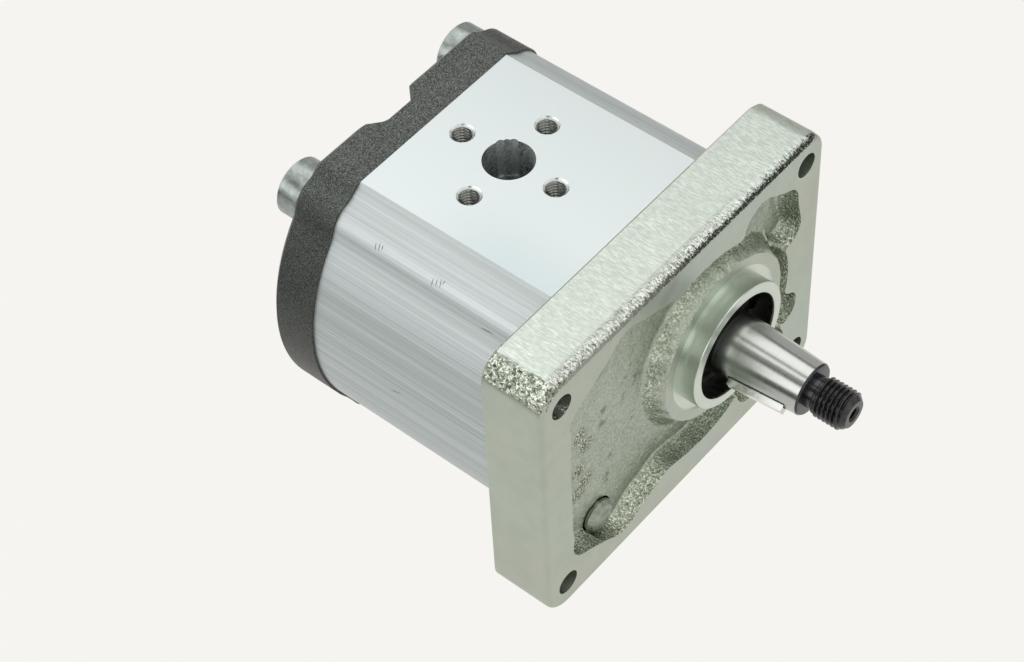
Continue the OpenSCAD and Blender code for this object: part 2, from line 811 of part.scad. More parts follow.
module body_seal(x) {
    r = body_groove_r + body_seal_d / 2;
    color("#262626") translate([x, 0, 0]) {
        for (side = [0, 1])
            translate([0, side * driven_y, 0]) rotate([90, 0, 90])
                rotate_extrude(angle = 180, start = side * 180 - 90)
                    translate([r, 0]) circle(d = body_seal_d, $fn = 32);
        for (s = [-1, 1])
            translate([0, driven_y, s * r]) rotate([-90, 0, 0])
                cylinder(h = gear_distance, d = body_seal_d, $fn = 32);
    }
}

module front_body_seal() {
    body_seal(body_front - body_seal_d / 2);
}

module rear_body_seal() {
    body_seal(body_rear + body_seal_d / 2);
}

// Three-shaped pressure seals and their backup rings, in the cover side of each block

module pressure_seal(x) {
    color("#1f2a1f") from_x(x) linear_extrude(pressure_seal_t)
        three_loop(pressure_groove_r - slip, backup_r + slip);
}

module backup_ring(x) {
    color("#e6e2d6") from_x(x) linear_extrude(pressure_seal_t)
        three_loop(backup_r, backup_r - backup_w + slip);
}

module front_pressure_seal() {
    pressure_seal(body_front - pressure_seal_t);
}

module rear_pressure_seal() {
    pressure_seal(body_rear);
}

module front_backup_ring() {
    backup_ring(body_front - pressure_seal_t);
}

module rear_backup_ring() {
    backup_ring(body_rear);
}

// Screws and dowels

module cover_screws() {
    tip = -pocket_depth + screw_proud;
    tip_edge = 2 * edge_break;
    head_rear = rear_face - screw_head_h;
    color("#b4b8b6") from_x(0) at_corners(screw_pitch_w, screw_pitch_h) difference() {
        union() {
            translate([0, 0, rear_face]) cylinder(h = tip - tip_edge - rear_face, d = screw_d);
            translate([0, 0, tip - tip_edge])
                cylinder(h = tip_edge, d1 = screw_d, d2 = screw_d - 2 * tip_edge);
            translate([0, 0, head_rear + edge_break])
                cylinder(h = screw_head_h - edge_break, d = screw_head_d);
            translate([0, 0, head_rear])
                cylinder(h = edge_break, d1 = screw_head_d - 2 * edge_break, d2 = screw_head_d);
        }
        translate([0, 0, head_rear - over])
            cylinder(h = screw_head_h / 2 + over, d = socket_w / cos(30), $fn = 6);
    }
}

module dowel_pair(x) {
    end_gap = 0.2;
    length = dowel_len - 2 * end_gap;
    color("#9a9c9c") from_x(x - length / 2) at_dowels() {
        cylinder(h = edge_break, d1 = dowel_d - 2 * edge_break, d2 = dowel_d);
        translate([0, 0, edge_break]) cylinder(h = length - 2 * edge_break, d = dowel_d);
        translate([0, 0, length - edge_break])
            cylinder(h = edge_break, d1 = dowel_d, d2 = dowel_d - 2 * edge_break);
    }
}

module front_dowels() {
    dowel_pair(body_front);
}

module rear_dowels() {
    dowel_pair(body_rear);
}

front_cover();
pump_body();
rear_cover();
drive_gear_shaft();
shaft_key();
driven_gear_shaft();
front_bearing_block();
rear_bearing_block();
front_drive_bush();
front_driven_bush();
rear_drive_bush();
rear_driven_bush();
shaft_seal_case();
shaft_seal_lip();
seal_garter_spring();
seal_retaining_ring();
front_body_seal();
rear_body_seal();
front_pressure_seal();
rear_pressure_seal();
front_backup_ring();
rear_backup_ring();
cover_screws();
front_dowels();
rear_dowels();
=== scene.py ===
"""Looks of the hydraulic gear pump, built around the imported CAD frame. The scene is in metres.
Points and radii of shapes are given in millimetres, and MM turns them into metres."""

import math

import bmesh
import bpy
import numpy as np
from mathutils import Matrix, Vector, noise


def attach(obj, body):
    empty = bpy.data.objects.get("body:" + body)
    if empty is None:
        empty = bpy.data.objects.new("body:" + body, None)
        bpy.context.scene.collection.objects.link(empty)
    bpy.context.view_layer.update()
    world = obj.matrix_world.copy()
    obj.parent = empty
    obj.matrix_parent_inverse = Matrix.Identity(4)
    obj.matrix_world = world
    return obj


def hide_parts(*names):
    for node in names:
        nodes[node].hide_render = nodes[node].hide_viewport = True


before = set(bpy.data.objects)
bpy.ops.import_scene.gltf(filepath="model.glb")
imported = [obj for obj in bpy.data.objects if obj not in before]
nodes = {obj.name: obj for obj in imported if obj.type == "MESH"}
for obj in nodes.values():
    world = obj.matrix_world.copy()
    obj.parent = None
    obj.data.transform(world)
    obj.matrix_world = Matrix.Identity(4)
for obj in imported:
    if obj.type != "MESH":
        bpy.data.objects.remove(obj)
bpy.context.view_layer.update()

MM = 0.001
TAU = 2 * math.pi

# Sizes that follow from part.scad, in millimetres
MID_Y = -15.5
COVER_T = 18.5
HALF_W = 55.5
HALF_H = 44.25
POCKET_DEPTH = 5.0
BOSS_R = 24.0
PILOT_R = 18.25
PILOT_H = 4.5
SEAL_BORE_R = 15.0
SEAL_SEAT = -9.74
RING_GROOVE_R = 15.7
PASSAGE_R = 10.5
MOUNT_HOLE_R = 3.5
MOUNT_Y = 48.0
MOUNT_Z = 35.75
SCREWS = [(y, z) for y in (-46.0, 15.0) for z in (-30.0, 30.0)]
SCREW_BORE_R = 5.02
DOWEL_REACH = 27.65
DOWEL_ANGLE = math.radians(28)
DOWELS = [(MID_Y + side * (DOWEL_REACH * math.cos(DOWEL_ANGLE) - MID_Y),
           side * DOWEL_REACH * math.sin(DOWEL_ANGLE)) for side in (-1, 1)]
DOWEL_BORE_R = 3.02
DOWEL_BORE_DEPTH = 6.0
BODY_FRONT = -18.5
REAR_FACE = -92.8
REAR_RELIEF_DEPTH = 4.6
FLAT_Z = 42.0
PORT_X = -55.5
TAPER_END = 27.05
TAPER_END_R = 7.34
TAPER_SLOPE = 1 / 16
SHAFT_TIP = 39.8
KEY_ANGLE = 205
KEY_START = 7.9

# The scene's own taper and thread on the shaft, in millimetres
TAPER_START = 3.2
NECK_R = 4.6
THREAD_START = 29.6
THREAD_PITCH = 1.27
ROOT_R = 4.68
CREST_R = 5.5
TIP_R = 3.85


def taper_r(x):
    """Radius of the taper at x."""
    return TAPER_END_R + (TAPER_END - x) * TAPER_SLOPE


def unit(v):
    """v held between 0 and 1."""
    return min(1.0, max(0.0, v))


# Mesh helpers

def add_mesh(name, verts, faces, materials=(), smooth=True, scale=MM):
    """New object from points in millimetres."""
    mesh = bpy.data.meshes.new(name)
    mesh.from_pydata([tuple(c * scale for c in v) for v in verts], [], faces)
    for m in materials:
        mesh.materials.append(m)
    mesh.update()
    if smooth:
        mesh.shade_smooth()
    obj = bpy.data.objects.new(name, mesh)
    bpy.context.scene.collection.objects.link(obj)
    return obj


def circle(r, segments):
    """Points on a circle round the origin."""
    return [(r * math.cos(TAU * i / segments), r * math.sin(TAU * i / segments))
            for i in range(segments)]


def stack(name, rings, materials=()):
    """Closed solid through a row of rings with equally many points, flat at both ends."""
    n = len(rings[0])
    faces = [tuple(reversed(range(n)))]
    for k in range(len(rings) - 1):
        for i in range(n):
            j = (i + 1) % n
            faces.append((k * n + i, k * n + j, (k + 1) * n + j, (k + 1) * n + i))
    faces.append(tuple(range((len(rings) - 1) * n, len(rings) * n)))
    return add_mesh(name, [p for ring in rings for p in ring], faces, materials)


def lathe(name, loop, materials=(), segments=96):
    """Ring turned about X from a closed loop of (radius, x) points."""
    n = len(loop)
    verts = [(x, r * a, r * b) for a, b in circle(1.0, segments) for r, x in loop]
    faces = []
    for i in range(segments):
        j = (i + 1) % segments
        for k in range(n):
            m = (k + 1) % n
            faces.append((i * n + k, i * n + m, j * n + m, j * n + k))
    return add_mesh(name, verts, faces, materials)


def turned(name, profile, materials, segments):
    """Solid turned about X from a row of (radius, x) points, flat at both ends."""
    rings = [[(x, a, b) for a, b in circle(r, segments)] for r, x in profile]
    return stack(name, rings, materials)


def box(name, low, high, materials=()):
    verts = [(x, y, z) for x in (low[0], high[0]) for y in (low[1], high[1])
             for z in (low[2], high[2])]
    faces = [(0, 1, 3, 2), (4, 6, 7, 5), (0, 4, 5, 1), (2, 3, 7, 6), (0, 2, 6, 4), (1, 5, 7, 3)]
    return add_mesh(name, verts, faces, materials, smooth=False)


def plug(name, mouth, foot, materials=(), segments=48):
    """Cone or cylinder along +Z between two (radius, z) points."""
    rings = [[(a, b, z) for a, b in circle(r, segments)] for r, z in (mouth, foot)]
    return stack(name, rings, materials)


def rod(name, x0, x1, r, y=0.0, z=0.0, segments=48, materials=()):
    """Cylinder along X."""
    rings = [[(x, y + a, z + b) for a, b in circle(r, segments)] for x in (x0, x1)]
    return stack(name, rings, materials)


def threaded_rod(name, length, radius_at, pitch, segments, per_pitch, materials):
    """Rod along +Z from z = 0 whose radius follows a helix: radius_at(z, t) with t the place
    across one thread, from 0 to 1."""
    steps = max(2, int(round(length / pitch * per_pitch)))
    rings = []
    for k in range(steps + 1):
        z = length * k / steps
        ring = []
        for i, (a, b) in enumerate(circle(1.0, segments)):
            r = radius_at(z, (z / pitch - i / segments) % 1.0)
            ring.append((r * a, r * b, z))
        rings.append(ring)
    return stack(name, rings, materials)


def v_groove(t, flat=0.14):
    """Height of a V thread from 0 to 1 at the place t across it, with flats at both ends."""
    height = 1.0 - abs(2.0 * t - 1.0)
    return unit((height - flat) / (1.0 - 2.0 * flat))


def copy_node(node, name):
    """Copy of a CAD node's mesh with its points merged, ready for booleans."""
    mesh = nodes[node].data.copy()
    mesh.name = name
    mesh.materials.clear()
    obj = bpy.data.objects.new(name, mesh)
    bpy.context.scene.collection.objects.link(obj)
    weld(obj)
    return obj


def outward(obj):
    """Makes a closed mesh's faces point outwards."""
    bm = bmesh.new()
    bm.from_mesh(obj.data)
    bmesh.ops.recalc_face_normals(bm, faces=bm.faces)
    bm.to_mesh(obj.data)
    bm.free()
    return obj


def weld(obj):
    mod = obj.modifiers.new("weld", "WELD")
    mod.merge_threshold = 2e-7
    bake(obj)


def bake(obj):
    """Applies an object's modifiers to its mesh."""
    deps = bpy.context.evaluated_depsgraph_get()
    mesh = bpy.data.meshes.new_from_object(obj.evaluated_get(deps), depsgraph=deps)
    mesh.name = obj.name
    obj.modifiers.clear()
    obj.data = mesh


def combine(obj, other, operation="DIFFERENCE"):
    """Boolean of two closed objects, a cut unless told otherwise. The second one is removed.
    Faces that come from it have its material, or the first one's where it has none."""
    mine, theirs = obj.data.materials, other.data.materials
    paint = theirs[0] if len(theirs) else mine[0]
    if paint not in list(mine):
        mine.append(paint)
    theirs.clear()
    for m in mine:
        theirs.append(m)
    for mesh in (obj.data, other.data):
        if "material_index" not in mesh.attributes:
            mesh.attributes.new("material_index", "INT", "FACE")
    index = list(mine).index(paint)
    other.data.polygons.foreach_set("material_index", [index] * len(other.data.polygons))
    mod = obj.modifiers.new("boolean", "BOOLEAN")
    mod.operation = operation
    mod.solver = "MANIFOLD"
    mod.object = outward(other)
    bake(obj)
    bpy.data.objects.remove(other)


def join(name, *objs):
    """Joins meshes into one object, keeping their materials."""
    target = objs[0]
    with bpy.context.temp_override(active_object=target, object=target,
                                   selected_objects=list(objs),
                                   selected_editable_objects=list(objs)):
        bpy.ops.object.join()
    target.name = name
    target.data.name = name
    return target


def auto_smooth(obj, degrees=32.0):
    """Smooth shading with sharp edges where faces meet at more than this angle, and normals
    that follow the larger faces."""
    mesh = obj.data
    stale = mesh.attributes.get("custom_normal")
    if stale:
        mesh.attributes.remove(stale)
    mesh.shade_smooth()
    mesh.set_sharp_from_angle(angle=math.radians(degrees))
    mod = obj.modifiers.new("normals", "WEIGHTED_NORMAL")
    mod.mode = "FACE_AREA"
    mod.keep_sharp = True
    mod.weight = 100
    bake(obj)


# Material helpers

def math_node(tree, operation, a, b=0.0):
    """Math node on two numbers or sockets."""
    n = tree.nodes.new("ShaderNodeMath")
    n.operation = operation
    for socket, value in zip(n.inputs, (a, b)):
        if isinstance(value, (int, float)):
            socket.default_value = value
        else:
            tree.links.new(value, socket)
    return n.outputs["Value"]


def seen_directly(tree):
    """1 for camera, glossy and transmission rays, 0 for the light that falls on surfaces."""
    path = tree.nodes.new("ShaderNodeLightPath")
    seen = math_node(tree, "MAXIMUM", path.outputs["Is Camera Ray"], path.outputs["Is Glossy Ray"])
    return math_node(tree, "MAXIMUM", seen, path.outputs["Is Transmission Ray"])


class Graph:
    """Short-hand for building a node material."""

    def __init__(self, name):
        self.material = bpy.data.materials.new(name)
        self.material.use_nodes = True
        self.tree = self.material.node_tree
        self.shader = self.tree.nodes["Principled BSDF"]
        self.coord = self.tree.nodes.new("ShaderNodeTexCoord")

    def link(self, a, b):
        self.tree.links.new(a, b)

    def set(self, **values):
        for key, value in values.items():
            self.shader.inputs[key.replace("_", " ")].default_value = value
        return self

    def place(self, scale):
        """Object coordinates scaled by three factors, in 1/m."""
        n = self.tree.nodes.new("ShaderNodeMapping")
        n.inputs["Scale"].default_value = scale
        self.link(self.coord.outputs["Object"], n.inputs["Vector"])
        return n.outputs["Vector"]

    def noise(self, scale, detail=4.0, rough=0.55, vector=None, distortion=0.0):
        n = self.tree.nodes.new("ShaderNodeTexNoise")
        n.inputs["Scale"].default_value = scale
        n.inputs["Detail"].default_value = detail
        n.inputs["Roughness"].default_value = rough
        n.inputs["Distortion"].default_value = distortion
        self.link(vector or self.coord.outputs["Object"], n.inputs["Vector"])
        return n.outputs["Fac"]

    def cells(self, scale):
        n = self.tree.nodes.new("ShaderNodeTexVoronoi")
        n.inputs["Scale"].default_value = scale
        self.link(self.coord.outputs["Object"], n.inputs["Vector"])
        return n.outputs["Distance"]

    def ramp(self, fac, *stops):
        """Colour ramp from (place, colour or grey) pairs."""
        n = self.tree.nodes.new("ShaderNodeValToRGB")
        while len(n.color_ramp.elements) < len(stops):
            n.color_ramp.elements.new(0.5)
        for e, (place, value) in zip(n.color_ramp.elements, stops):
            e.position = place
            e.color = (value,) * 3 + (1,) if isinstance(value, (int, float)) else (*value, 1)
        self.link(fac, n.inputs["Fac"])
        return n.outputs["Color"]

    def math(self, operation, a, b=0.0):
        return math_node(self.tree, operation, a, b)

    def add(self, a, b):
        return self.math("ADD", a, b)

    def minus(self, a, b):
        return self.math("SUBTRACT", a, b)

    def times(self, a, b):
        return self.math("MULTIPLY", a, b)

    def mix(self, fac, a, b):
        n = self.tree.nodes.new("ShaderNodeMix")
        n.data_type = "RGBA"
        for socket, value in ((n.inputs["Factor"], fac), (n.inputs[6], a), (n.inputs[7], b)):
            if isinstance(value, (int, float)):
                socket.default_value = value
            elif isinstance(value, tuple):
                socket.default_value = (*value, 1)
            else:
                self.link(value, socket)
        return n.outputs[2]

    def axis(self, which, source="Object"):
        n = self.tree.nodes.new("ShaderNodeSeparateXYZ")
        self.link(self.coord.outputs[source], n.inputs[0])
        return n.outputs["XYZ".index(which)]

    def radius(self):
        """Distance from the axis of the shaft."""
        y, z = self.axis("Y"), self.axis("Z")
        return self.math("SQRT", self.add(self.times(y, y), self.times(z, z)))

    def band(self, value, low, high):
        """0 below low, 1 above high, smooth between."""
        n = self.tree.nodes.new("ShaderNodeMapRange")
        n.interpolation_type = "SMOOTHSTEP"
        n.inputs["From Min"].default_value = low
        n.inputs["From Max"].default_value = high
        self.link(value, n.inputs["Value"])
        return n.outputs["Result"]

    def near(self, places, radius, axes="YZ"):
        """1 at the given places, 0 further than radius from all of them, seen along an axis."""
        flat = self.tree.nodes.new("ShaderNodeMapping")
        flat.inputs["Scale"].default_value = [1.0 if c in axes else 0.0 for c in "XYZ"]
        self.link(self.coord.outputs["Object"], flat.inputs["Vector"])
        least = 1.0
        for a, b in places:
            n = self.tree.nodes.new("ShaderNodeVectorMath")
            n.operation = "DISTANCE"
            at = dict(zip(axes, (a * MM, b * MM)))
            n.inputs[1].default_value = [at.get(c, 0.0) for c in "XYZ"]
            self.link(flat.outputs["Vector"], n.inputs[0])
            least = self.math("MINIMUM", n.outputs["Value"], least)
        return self.band(least, radius * MM, 0.0)

    def stroke(self, x, z, length, turn):
        """1 on a short stroke on the side that faces -Y or +Y, with its middle at (x, z) in
        millimetres and turned up from +X by some degrees."""
        width = 0.28
        n = self.tree.nodes.new("ShaderNodeMapping")
        n.vector_type = "TEXTURE"
        n.inputs["Location"].default_value = (x * MM, 0, z * MM)
        n.inputs["Rotation"].default_value = (0, -math.radians(turn), 0)
        n.inputs["Scale"].default_value = (length / 2 * MM, 1e4, width / 2 * MM)
        self.link(self.coord.outputs["Object"], n.inputs["Vector"])
        size = self.tree.nodes.new("ShaderNodeVectorMath")
        size.operation = "LENGTH"
        self.link(n.outputs["Vector"], size.inputs[0])
        return self.band(size.outputs["Value"], 1.3, 0.6)

    def zone(self, which, low, high, soft):
        """1 where a coordinate lies between low and high, in millimetres."""
        v = self.axis(which)
        return self.times(self.band(v, (low - soft) * MM, (low + soft) * MM),
                          self.band(v, (high + soft) * MM, (high - soft) * MM))

    def bump(self, height, distance, strength=1.0, base=None):
        n = self.tree.nodes.new("ShaderNodeBump")
        n.inputs["Distance"].default_value = distance
        n.inputs["Strength"].default_value = strength
        self.link(height, n.inputs["Height"])
        if base is not None:
            self.link(base, n.inputs["Normal"])
        self.link(n.outputs["Normal"], self.shader.inputs["Normal"])
        return n.outputs["Normal"]

    def color(self, socket):
        self.link(socket, self.shader.inputs["Base Color"])

    def roughness(self, socket):
        self.link(socket, self.shader.inputs["Roughness"])


def zinc_plate():
    """Zinc plate on the milled and sawn faces of the flange: pale green grey with cream clouds,
    fine strokes across its long edges, and torn skin along the upper front edge and corner."""
    g = Graph("zinc_plate").set(Metallic=1.0)
    cloud = g.noise(38, 3)
    tint = g.ramp(cloud, (0.3, (0.42, 0.50, 0.44)), (0.5, (0.45, 0.50, 0.43)),
                  (0.7, (0.48, 0.49, 0.43)))
    burnt = g.near([(-21.6, 39.8), (-24.5, 38.2)], 4.0)
    tint = g.mix(0.35, tint, g.ramp(g.noise(150, 4, 0.6), (0.38, (0.40, 0.46, 0.395)),
                                    (0.62, (0.50, 0.54, 0.465))))
    tint = g.mix(g.times(burnt, 0.5), tint, (0.36, 0.33, 0.29))
    up = g.band(g.math("ABSOLUTE", g.axis("Z", "Normal")), 0.80, 0.97)
    fine_strokes = g.noise(1.0, 2, 0.6, g.place((520, 5200, 1500)), 0.2)
    mottle = g.noise(1.0, 3, 0.6, g.place((420, 900, 700)), 0.6)
    strokes = g.add(g.times(fine_strokes, 0.72), g.times(mottle, 0.28))
    sawn = g.mix(g.times(up, 0.75), tint,
                 g.ramp(strokes, (0.39, (0.46, 0.52, 0.48)), (0.50, (0.545, 0.60, 0.555)),
                        (0.59, (0.71, 0.765, 0.71))))
    # Torn skin: a dark toothed line next to the front face, bright tears on the rounding
    teeth = g.noise(1.0, 3, 0.65, g.place((1100, 2000, 1300)), 0.6)
    pebbles = g.noise(1.0, 3, 0.7, g.place((1100, 1100, 1100)), 0.8)
    front = g.zone("X", -1.75, 9.0, 0.15)
    wobble = g.times(g.minus(teeth, 0.5), 0.0022)
    height = g.add(g.axis("Z"), wobble)
    line = g.times(g.band(height, 42.50 * MM, 42.65 * MM), g.band(height, 43.95 * MM, 43.55 * MM))
    along = g.band(g.axis("Y"), -55 * MM, -5 * MM)
    line = g.times(g.times(line, front), g.add(0.35, g.times(along, 0.65)))
    tears = g.times(g.zone("X", -3.2, 9.0, 0.9), g.band(height, 43.2 * MM, 43.5 * MM))
    tears = g.times(tears, g.band(g.axis("Y"), 22 * MM, -14 * MM))
    corner = g.times(g.band(g.axis("Z", "Normal"), 0.40, 0.52),
                     g.band(g.axis("Z", "Normal"), 0.985, 0.93))
    corner = g.times(corner, g.band(g.axis("Y"), -60 * MM, -62.5 * MM))
    corner = g.times(corner, g.zone("Z", 30.0, 60.0, 0.5))
    pebble_tint = g.ramp(pebbles, (0.37, (0.05, 0.06, 0.045)), (0.45, (0.25, 0.29, 0.23)),
                         (0.53, (0.50, 0.55, 0.46)), (0.62, (0.95, 0.99, 0.88)))
    tear_tint = g.ramp(teeth, (0.34, (0.16, 0.18, 0.15)), (0.46, (0.55, 0.60, 0.53)),
                       (0.58, (0.95, 0.98, 0.93)))
    line_tint = g.ramp(g.noise(2600, 2), (0.42, (0.012, 0.016, 0.012)),
                       (0.57, (0.07, 0.08, 0.065)), (0.70, (0.5, 0.54, 0.46)))
    c = g.mix(g.times(tears, 0.8), sawn, tear_tint)
    c = g.mix(corner, c, pebble_tint)
    c = g.mix(line, c, line_tint)
    g.color(c)
    torn = g.math("MAXIMUM", corner, g.math("MAXIMUM", line, tears))
    g.roughness(g.minus(g.ramp(cloud, (0.3, 0.34), (0.7, 0.42)), g.times(torn, 0.12)))
    n = g.bump(g.times(strokes, up), 0.00010, 0.7)
    n = g.bump(g.noise(2600, 2), 0.000012, 0.5, n)
    rough = g.add(g.times(teeth, 0.6), g.times(pebbles, 0.6))
    g.bump(g.times(rough, torn), 0.0006, 0.9, n)
    return g.material


PITS = [(-51.4, 7.7), (-49.6, 2.7), (-52.5, -5.2), (-49.9, -11.3), (-52.7, -13.7)]
FAINT_PITS = [(-42.4, 9.3), (-42.9, 4.6), (-33.8, 12.4), (-29.9, 9.7), (-34.8, 6.7),
              (-31.1, -4.2), (-40.9, -18.0), (-41.3, -20.9), (-40.0, -10.6)]
# Places on the pocket's slopes, as (y, z), that get painted shade
PAINTED_SHADE_WALLS = [(5.7, 22.4), (15.3, 20.5), (23.0, 11.7), (31.4, 3.1), (32.5, -4.0), (32.5, -11.3),
              (34.8, -19.2), (31.4, -27.0), (2.4, -33.8), (-9.0, -32.4), (-19.1, -30.9),
              (-49.0, -37.6), (-52.0, -34.0), (29.9, 22.2), (34.5, 11.3), (-2.0, 25.4)]
# Places on the pocket's slopes, as (y, z), that get painted glints
PAINTED_GLINT_WALLS = [(-26.2, -35.0), (-32.0, -37.6), (-38.8, -39.8), (-44.0, -38.4), (-24.5, 13.7),
               (-14.6, 21.5), (-27.0, 2.0)]


def zinc_cast():
    """Zinc plate on the raw casting of the pocket: fine grained floor with pits, and coarse
    bright and dark grain on every slope, with painted shade and painted glints on some walls."""
    g = Graph("zinc_cast").set(Metallic=1.0)
    cloud = g.noise(60, 3)
    grain = g.noise(1900, 3, 0.65)
    coarse = g.noise(1600, 2, 0.55, None, 0.4)
    # Masks of painted shade and painted glints round those places
    dark = g.near(PAINTED_SHADE_WALLS, 8.0)
    light = g.near(PAINTED_GLINT_WALLS, 7.0)
    soft = g.times(g.minus(g.noise(600, 3), 0.5), 0.34)
    slope = g.band(g.add(g.math("ABSOLUTE", g.axis("X", "Normal")), soft), 0.965, 0.70)
    radius = g.add(g.radius(), g.times(soft, 0.008))
    slope = g.times(slope, g.band(radius, 23.8 * MM, 26.6 * MM))
    pits = g.times(g.near(PITS, 4.4), g.band(g.noise(420, 2), 0.37, 0.45))
    faint = g.times(g.near(FAINT_PITS, 2.6), g.band(g.noise(520, 2), 0.45, 0.54))
    bare = g.near([(-42.2, 25.5), (-45.4, 26.8), (-41.0, 28.6)], 4.0)
    rough = g.math("MAXIMUM", slope, pits)
    rough = g.times(rough, g.minus(1.0, bare))
    floor_tint = g.mix(0.5, g.ramp(cloud, (0.3, (0.36, 0.42, 0.35)), (0.7, (0.42, 0.46, 0.38))),
                       g.ramp(grain, (0.37, (0.20, 0.24, 0.19)), (0.63, (0.64, 0.69, 0.59))))
    floor_tint = g.mix(g.times(bare, 0.7), floor_tint, (0.40, 0.42, 0.44))
    # Painted glints lift the slopes' grain and painted shade lowers it
    shifted = g.add(coarse, g.times(light, 0.085))
    shifted = g.minus(shifted, g.times(dark, 0.03))
    shifted = g.add(shifted, g.times(g.minus(cloud, 0.5), 0.25))
    slope_tint = g.ramp(shifted, (0.30, (0.13, 0.15, 0.115)), (0.44, (0.27, 0.31, 0.24)),
                        (0.56, (0.40, 0.44, 0.355)), (0.72, (0.76, 0.81, 0.68)))
    # More painted shade on the dark stretches of wall
    slope_tint = g.mix(g.times(dark, 0.55), slope_tint, (0.21, 0.24, 0.19))
    c = g.mix(rough, floor_tint, slope_tint)
    c = g.mix(g.times(pits, 0.9), c,
              g.ramp(coarse, (0.44, (0.025, 0.03, 0.02)), (0.53, (0.20, 0.23, 0.17)),
                     (0.62, (0.85, 0.89, 0.76))))
    c = g.mix(g.times(faint, 0.8), c, (0.13, 0.15, 0.12))
    g.color(c)
    g.roughness(g.minus(g.ramp(grain, (0.3, 0.36), (0.7, 0.46)), g.times(rough, 0.14)))
    n = g.bump(grain, 0.00008, 0.7)
    n = g.bump(faint, 0.00025, -0.8, n)
    g.bump(g.times(coarse, rough), 0.00045, 0.8, n)
    return g.material


def zinc_turned():
    """Turned and plated ring: bright, with fine rings and a little cloud."""
    g = Graph("zinc_turned").set(Metallic=1.0)
    n = g.tree.nodes.new("ShaderNodeCombineXYZ")
    g.link(g.times(g.radius(), 5200.0), n.inputs[0])
    g.link(g.times(g.axis("X"), 5200.0), n.inputs[1])
    rings = g.noise(1.0, 2, 0.6, n.outputs[0])
    cloud = g.noise(160, 3)
    g.color(g.mix(0.5, g.ramp(rings, (0.35, (0.54, 0.60, 0.53)), (0.65, (0.68, 0.74, 0.67))),
                  g.ramp(cloud, (0.30, (0.57, 0.63, 0.57)), (0.70, (0.64, 0.70, 0.63)))))
    g.roughness(g.ramp(cloud, (0.3, 0.30), (0.7, 0.33)))
    g.bump(rings, 0.000010, 0.5)
    return g.material


# Light scratches across the round side, as (x, z, length, turn)
TICKS = [(-66.7, 35.6, 1.6, 108), (-65.7, 35.9, 1.7, 104), (-64.8, 36.1, 1.0, 104),
         (-48.4, 35.5, 1.6, 98), (-47.3, 35.9, 1.3, 99), (-46.2, 36.1, 1.5, 108),
         (-45.5, 36.6, 0.8, 70), (-30, 32.4, 3.8, 5), (-24.5, 30.8, 2.4, -12), (-52, 3, 3.5, 16)]


def drawn_aluminium():
    """Extruded body: satin, with fine lines along X on its round sides, painted light towards the
    top of the round sides and painted shade on part of the flats.
    """
    g = Graph("drawn_aluminium").set(Metallic=1.0)
    hair = g.noise(1.0, 4, 0.7, g.place((8, 2600, 2600)))
    lines = g.noise(1.0, 3, 0.6, g.place((5, 750, 750)))
    broad = g.noise(1.0, 2, 0.5, g.place((2, 130, 130)))
    flat = g.band(g.math("ABSOLUTE", g.axis("Z", "Normal")), 0.985, 0.998)
    round_tint = g.mix(0.5, g.ramp(hair, (0.40, (0.44, 0.49, 0.49)), (0.60, (0.73, 0.79, 0.80))),
                       g.mix(0.5, g.ramp(lines, (0.42, (0.49, 0.54, 0.54)),
                                         (0.58, (0.66, 0.72, 0.73))),
                             g.ramp(broad, (0.42, (0.51, 0.56, 0.57)),
                                    (0.58, (0.64, 0.69, 0.71)))))
    # Painted light: the round sides turn lighter towards the top
    round_tint = g.mix(g.times(g.band(g.axis("Z"), 4 * MM, 24 * MM), 0.12), round_tint,
                       (0.95, 1.0, 1.0))
    ticks = g.band(g.axis("Y"), -45 * MM, -46 * MM)
    marks = 0.0
    for x, z, length, turn in TICKS:
        marks = g.math("MAXIMUM", g.stroke(x, z, length, turn), marks)
    marks = g.times(marks, ticks)
    round_tint = g.mix(g.times(marks, 0.85), round_tint, (0.15, 0.17, 0.17))
    round_tint = g.mix(0.07, round_tint, (0.0, 0.0, 0.0))
    # Painted shade: the flats darken towards their -Y edge and towards the front
    far_painted_shade = g.times(g.band(g.axis("Y"), -22 * MM, -44 * MM), g.band(g.axis("X"), -66 * MM, -34 * MM))
    flat_tint = g.mix(g.times(far_painted_shade, 0.8), (0.575, 0.628, 0.634), (0.475, 0.545, 0.56))
    g.color(g.mix(flat, round_tint, flat_tint))
    g.roughness(g.ramp(flat, (0.0, 0.54), (1.0, 0.36)))
    ridges = g.add(lines, g.times(hair, 0.35))
    n = g.bump(g.times(ridges, g.minus(1.0, g.times(flat, 0.95))), 0.00005, 0.4)
    g.bump(marks, 0.00015, -0.8, n)
    return g.material


PORT_STREAKS = [(-61.3, -12.0), (-58.7, -9.6)]


def bored_aluminium():
    """Wall of the port bores: dull, dark and speckled, with lighter streaks down it."""
    g = Graph("bored_aluminium").set(Metallic=0.5)
    speck = g.noise(1500, 3, 0.7)
    streaks = g.noise(1.0, 2, 0.6, g.place((330, 330, 40)))
    wall = g.mix(0.5, g.ramp(speck, (0.38, (0.05, 0.06, 0.057)), (0.62, (0.75, 0.82, 0.80))),
                 g.ramp(streaks, (0.40, (0.10, 0.12, 0.115)), (0.62, (0.55, 0.61, 0.60))))
    light = g.near(PORT_STREAKS, 1.5, "XY")
    g.color(g.mix(g.times(light, 0.6), wall, (0.85, 0.92, 0.92)))
    g.roughness(g.ramp(speck, (0.3, 0.42), (0.7, 0.58)))
    g.bump(speck, 0.00010, 0.7)
    return g.material


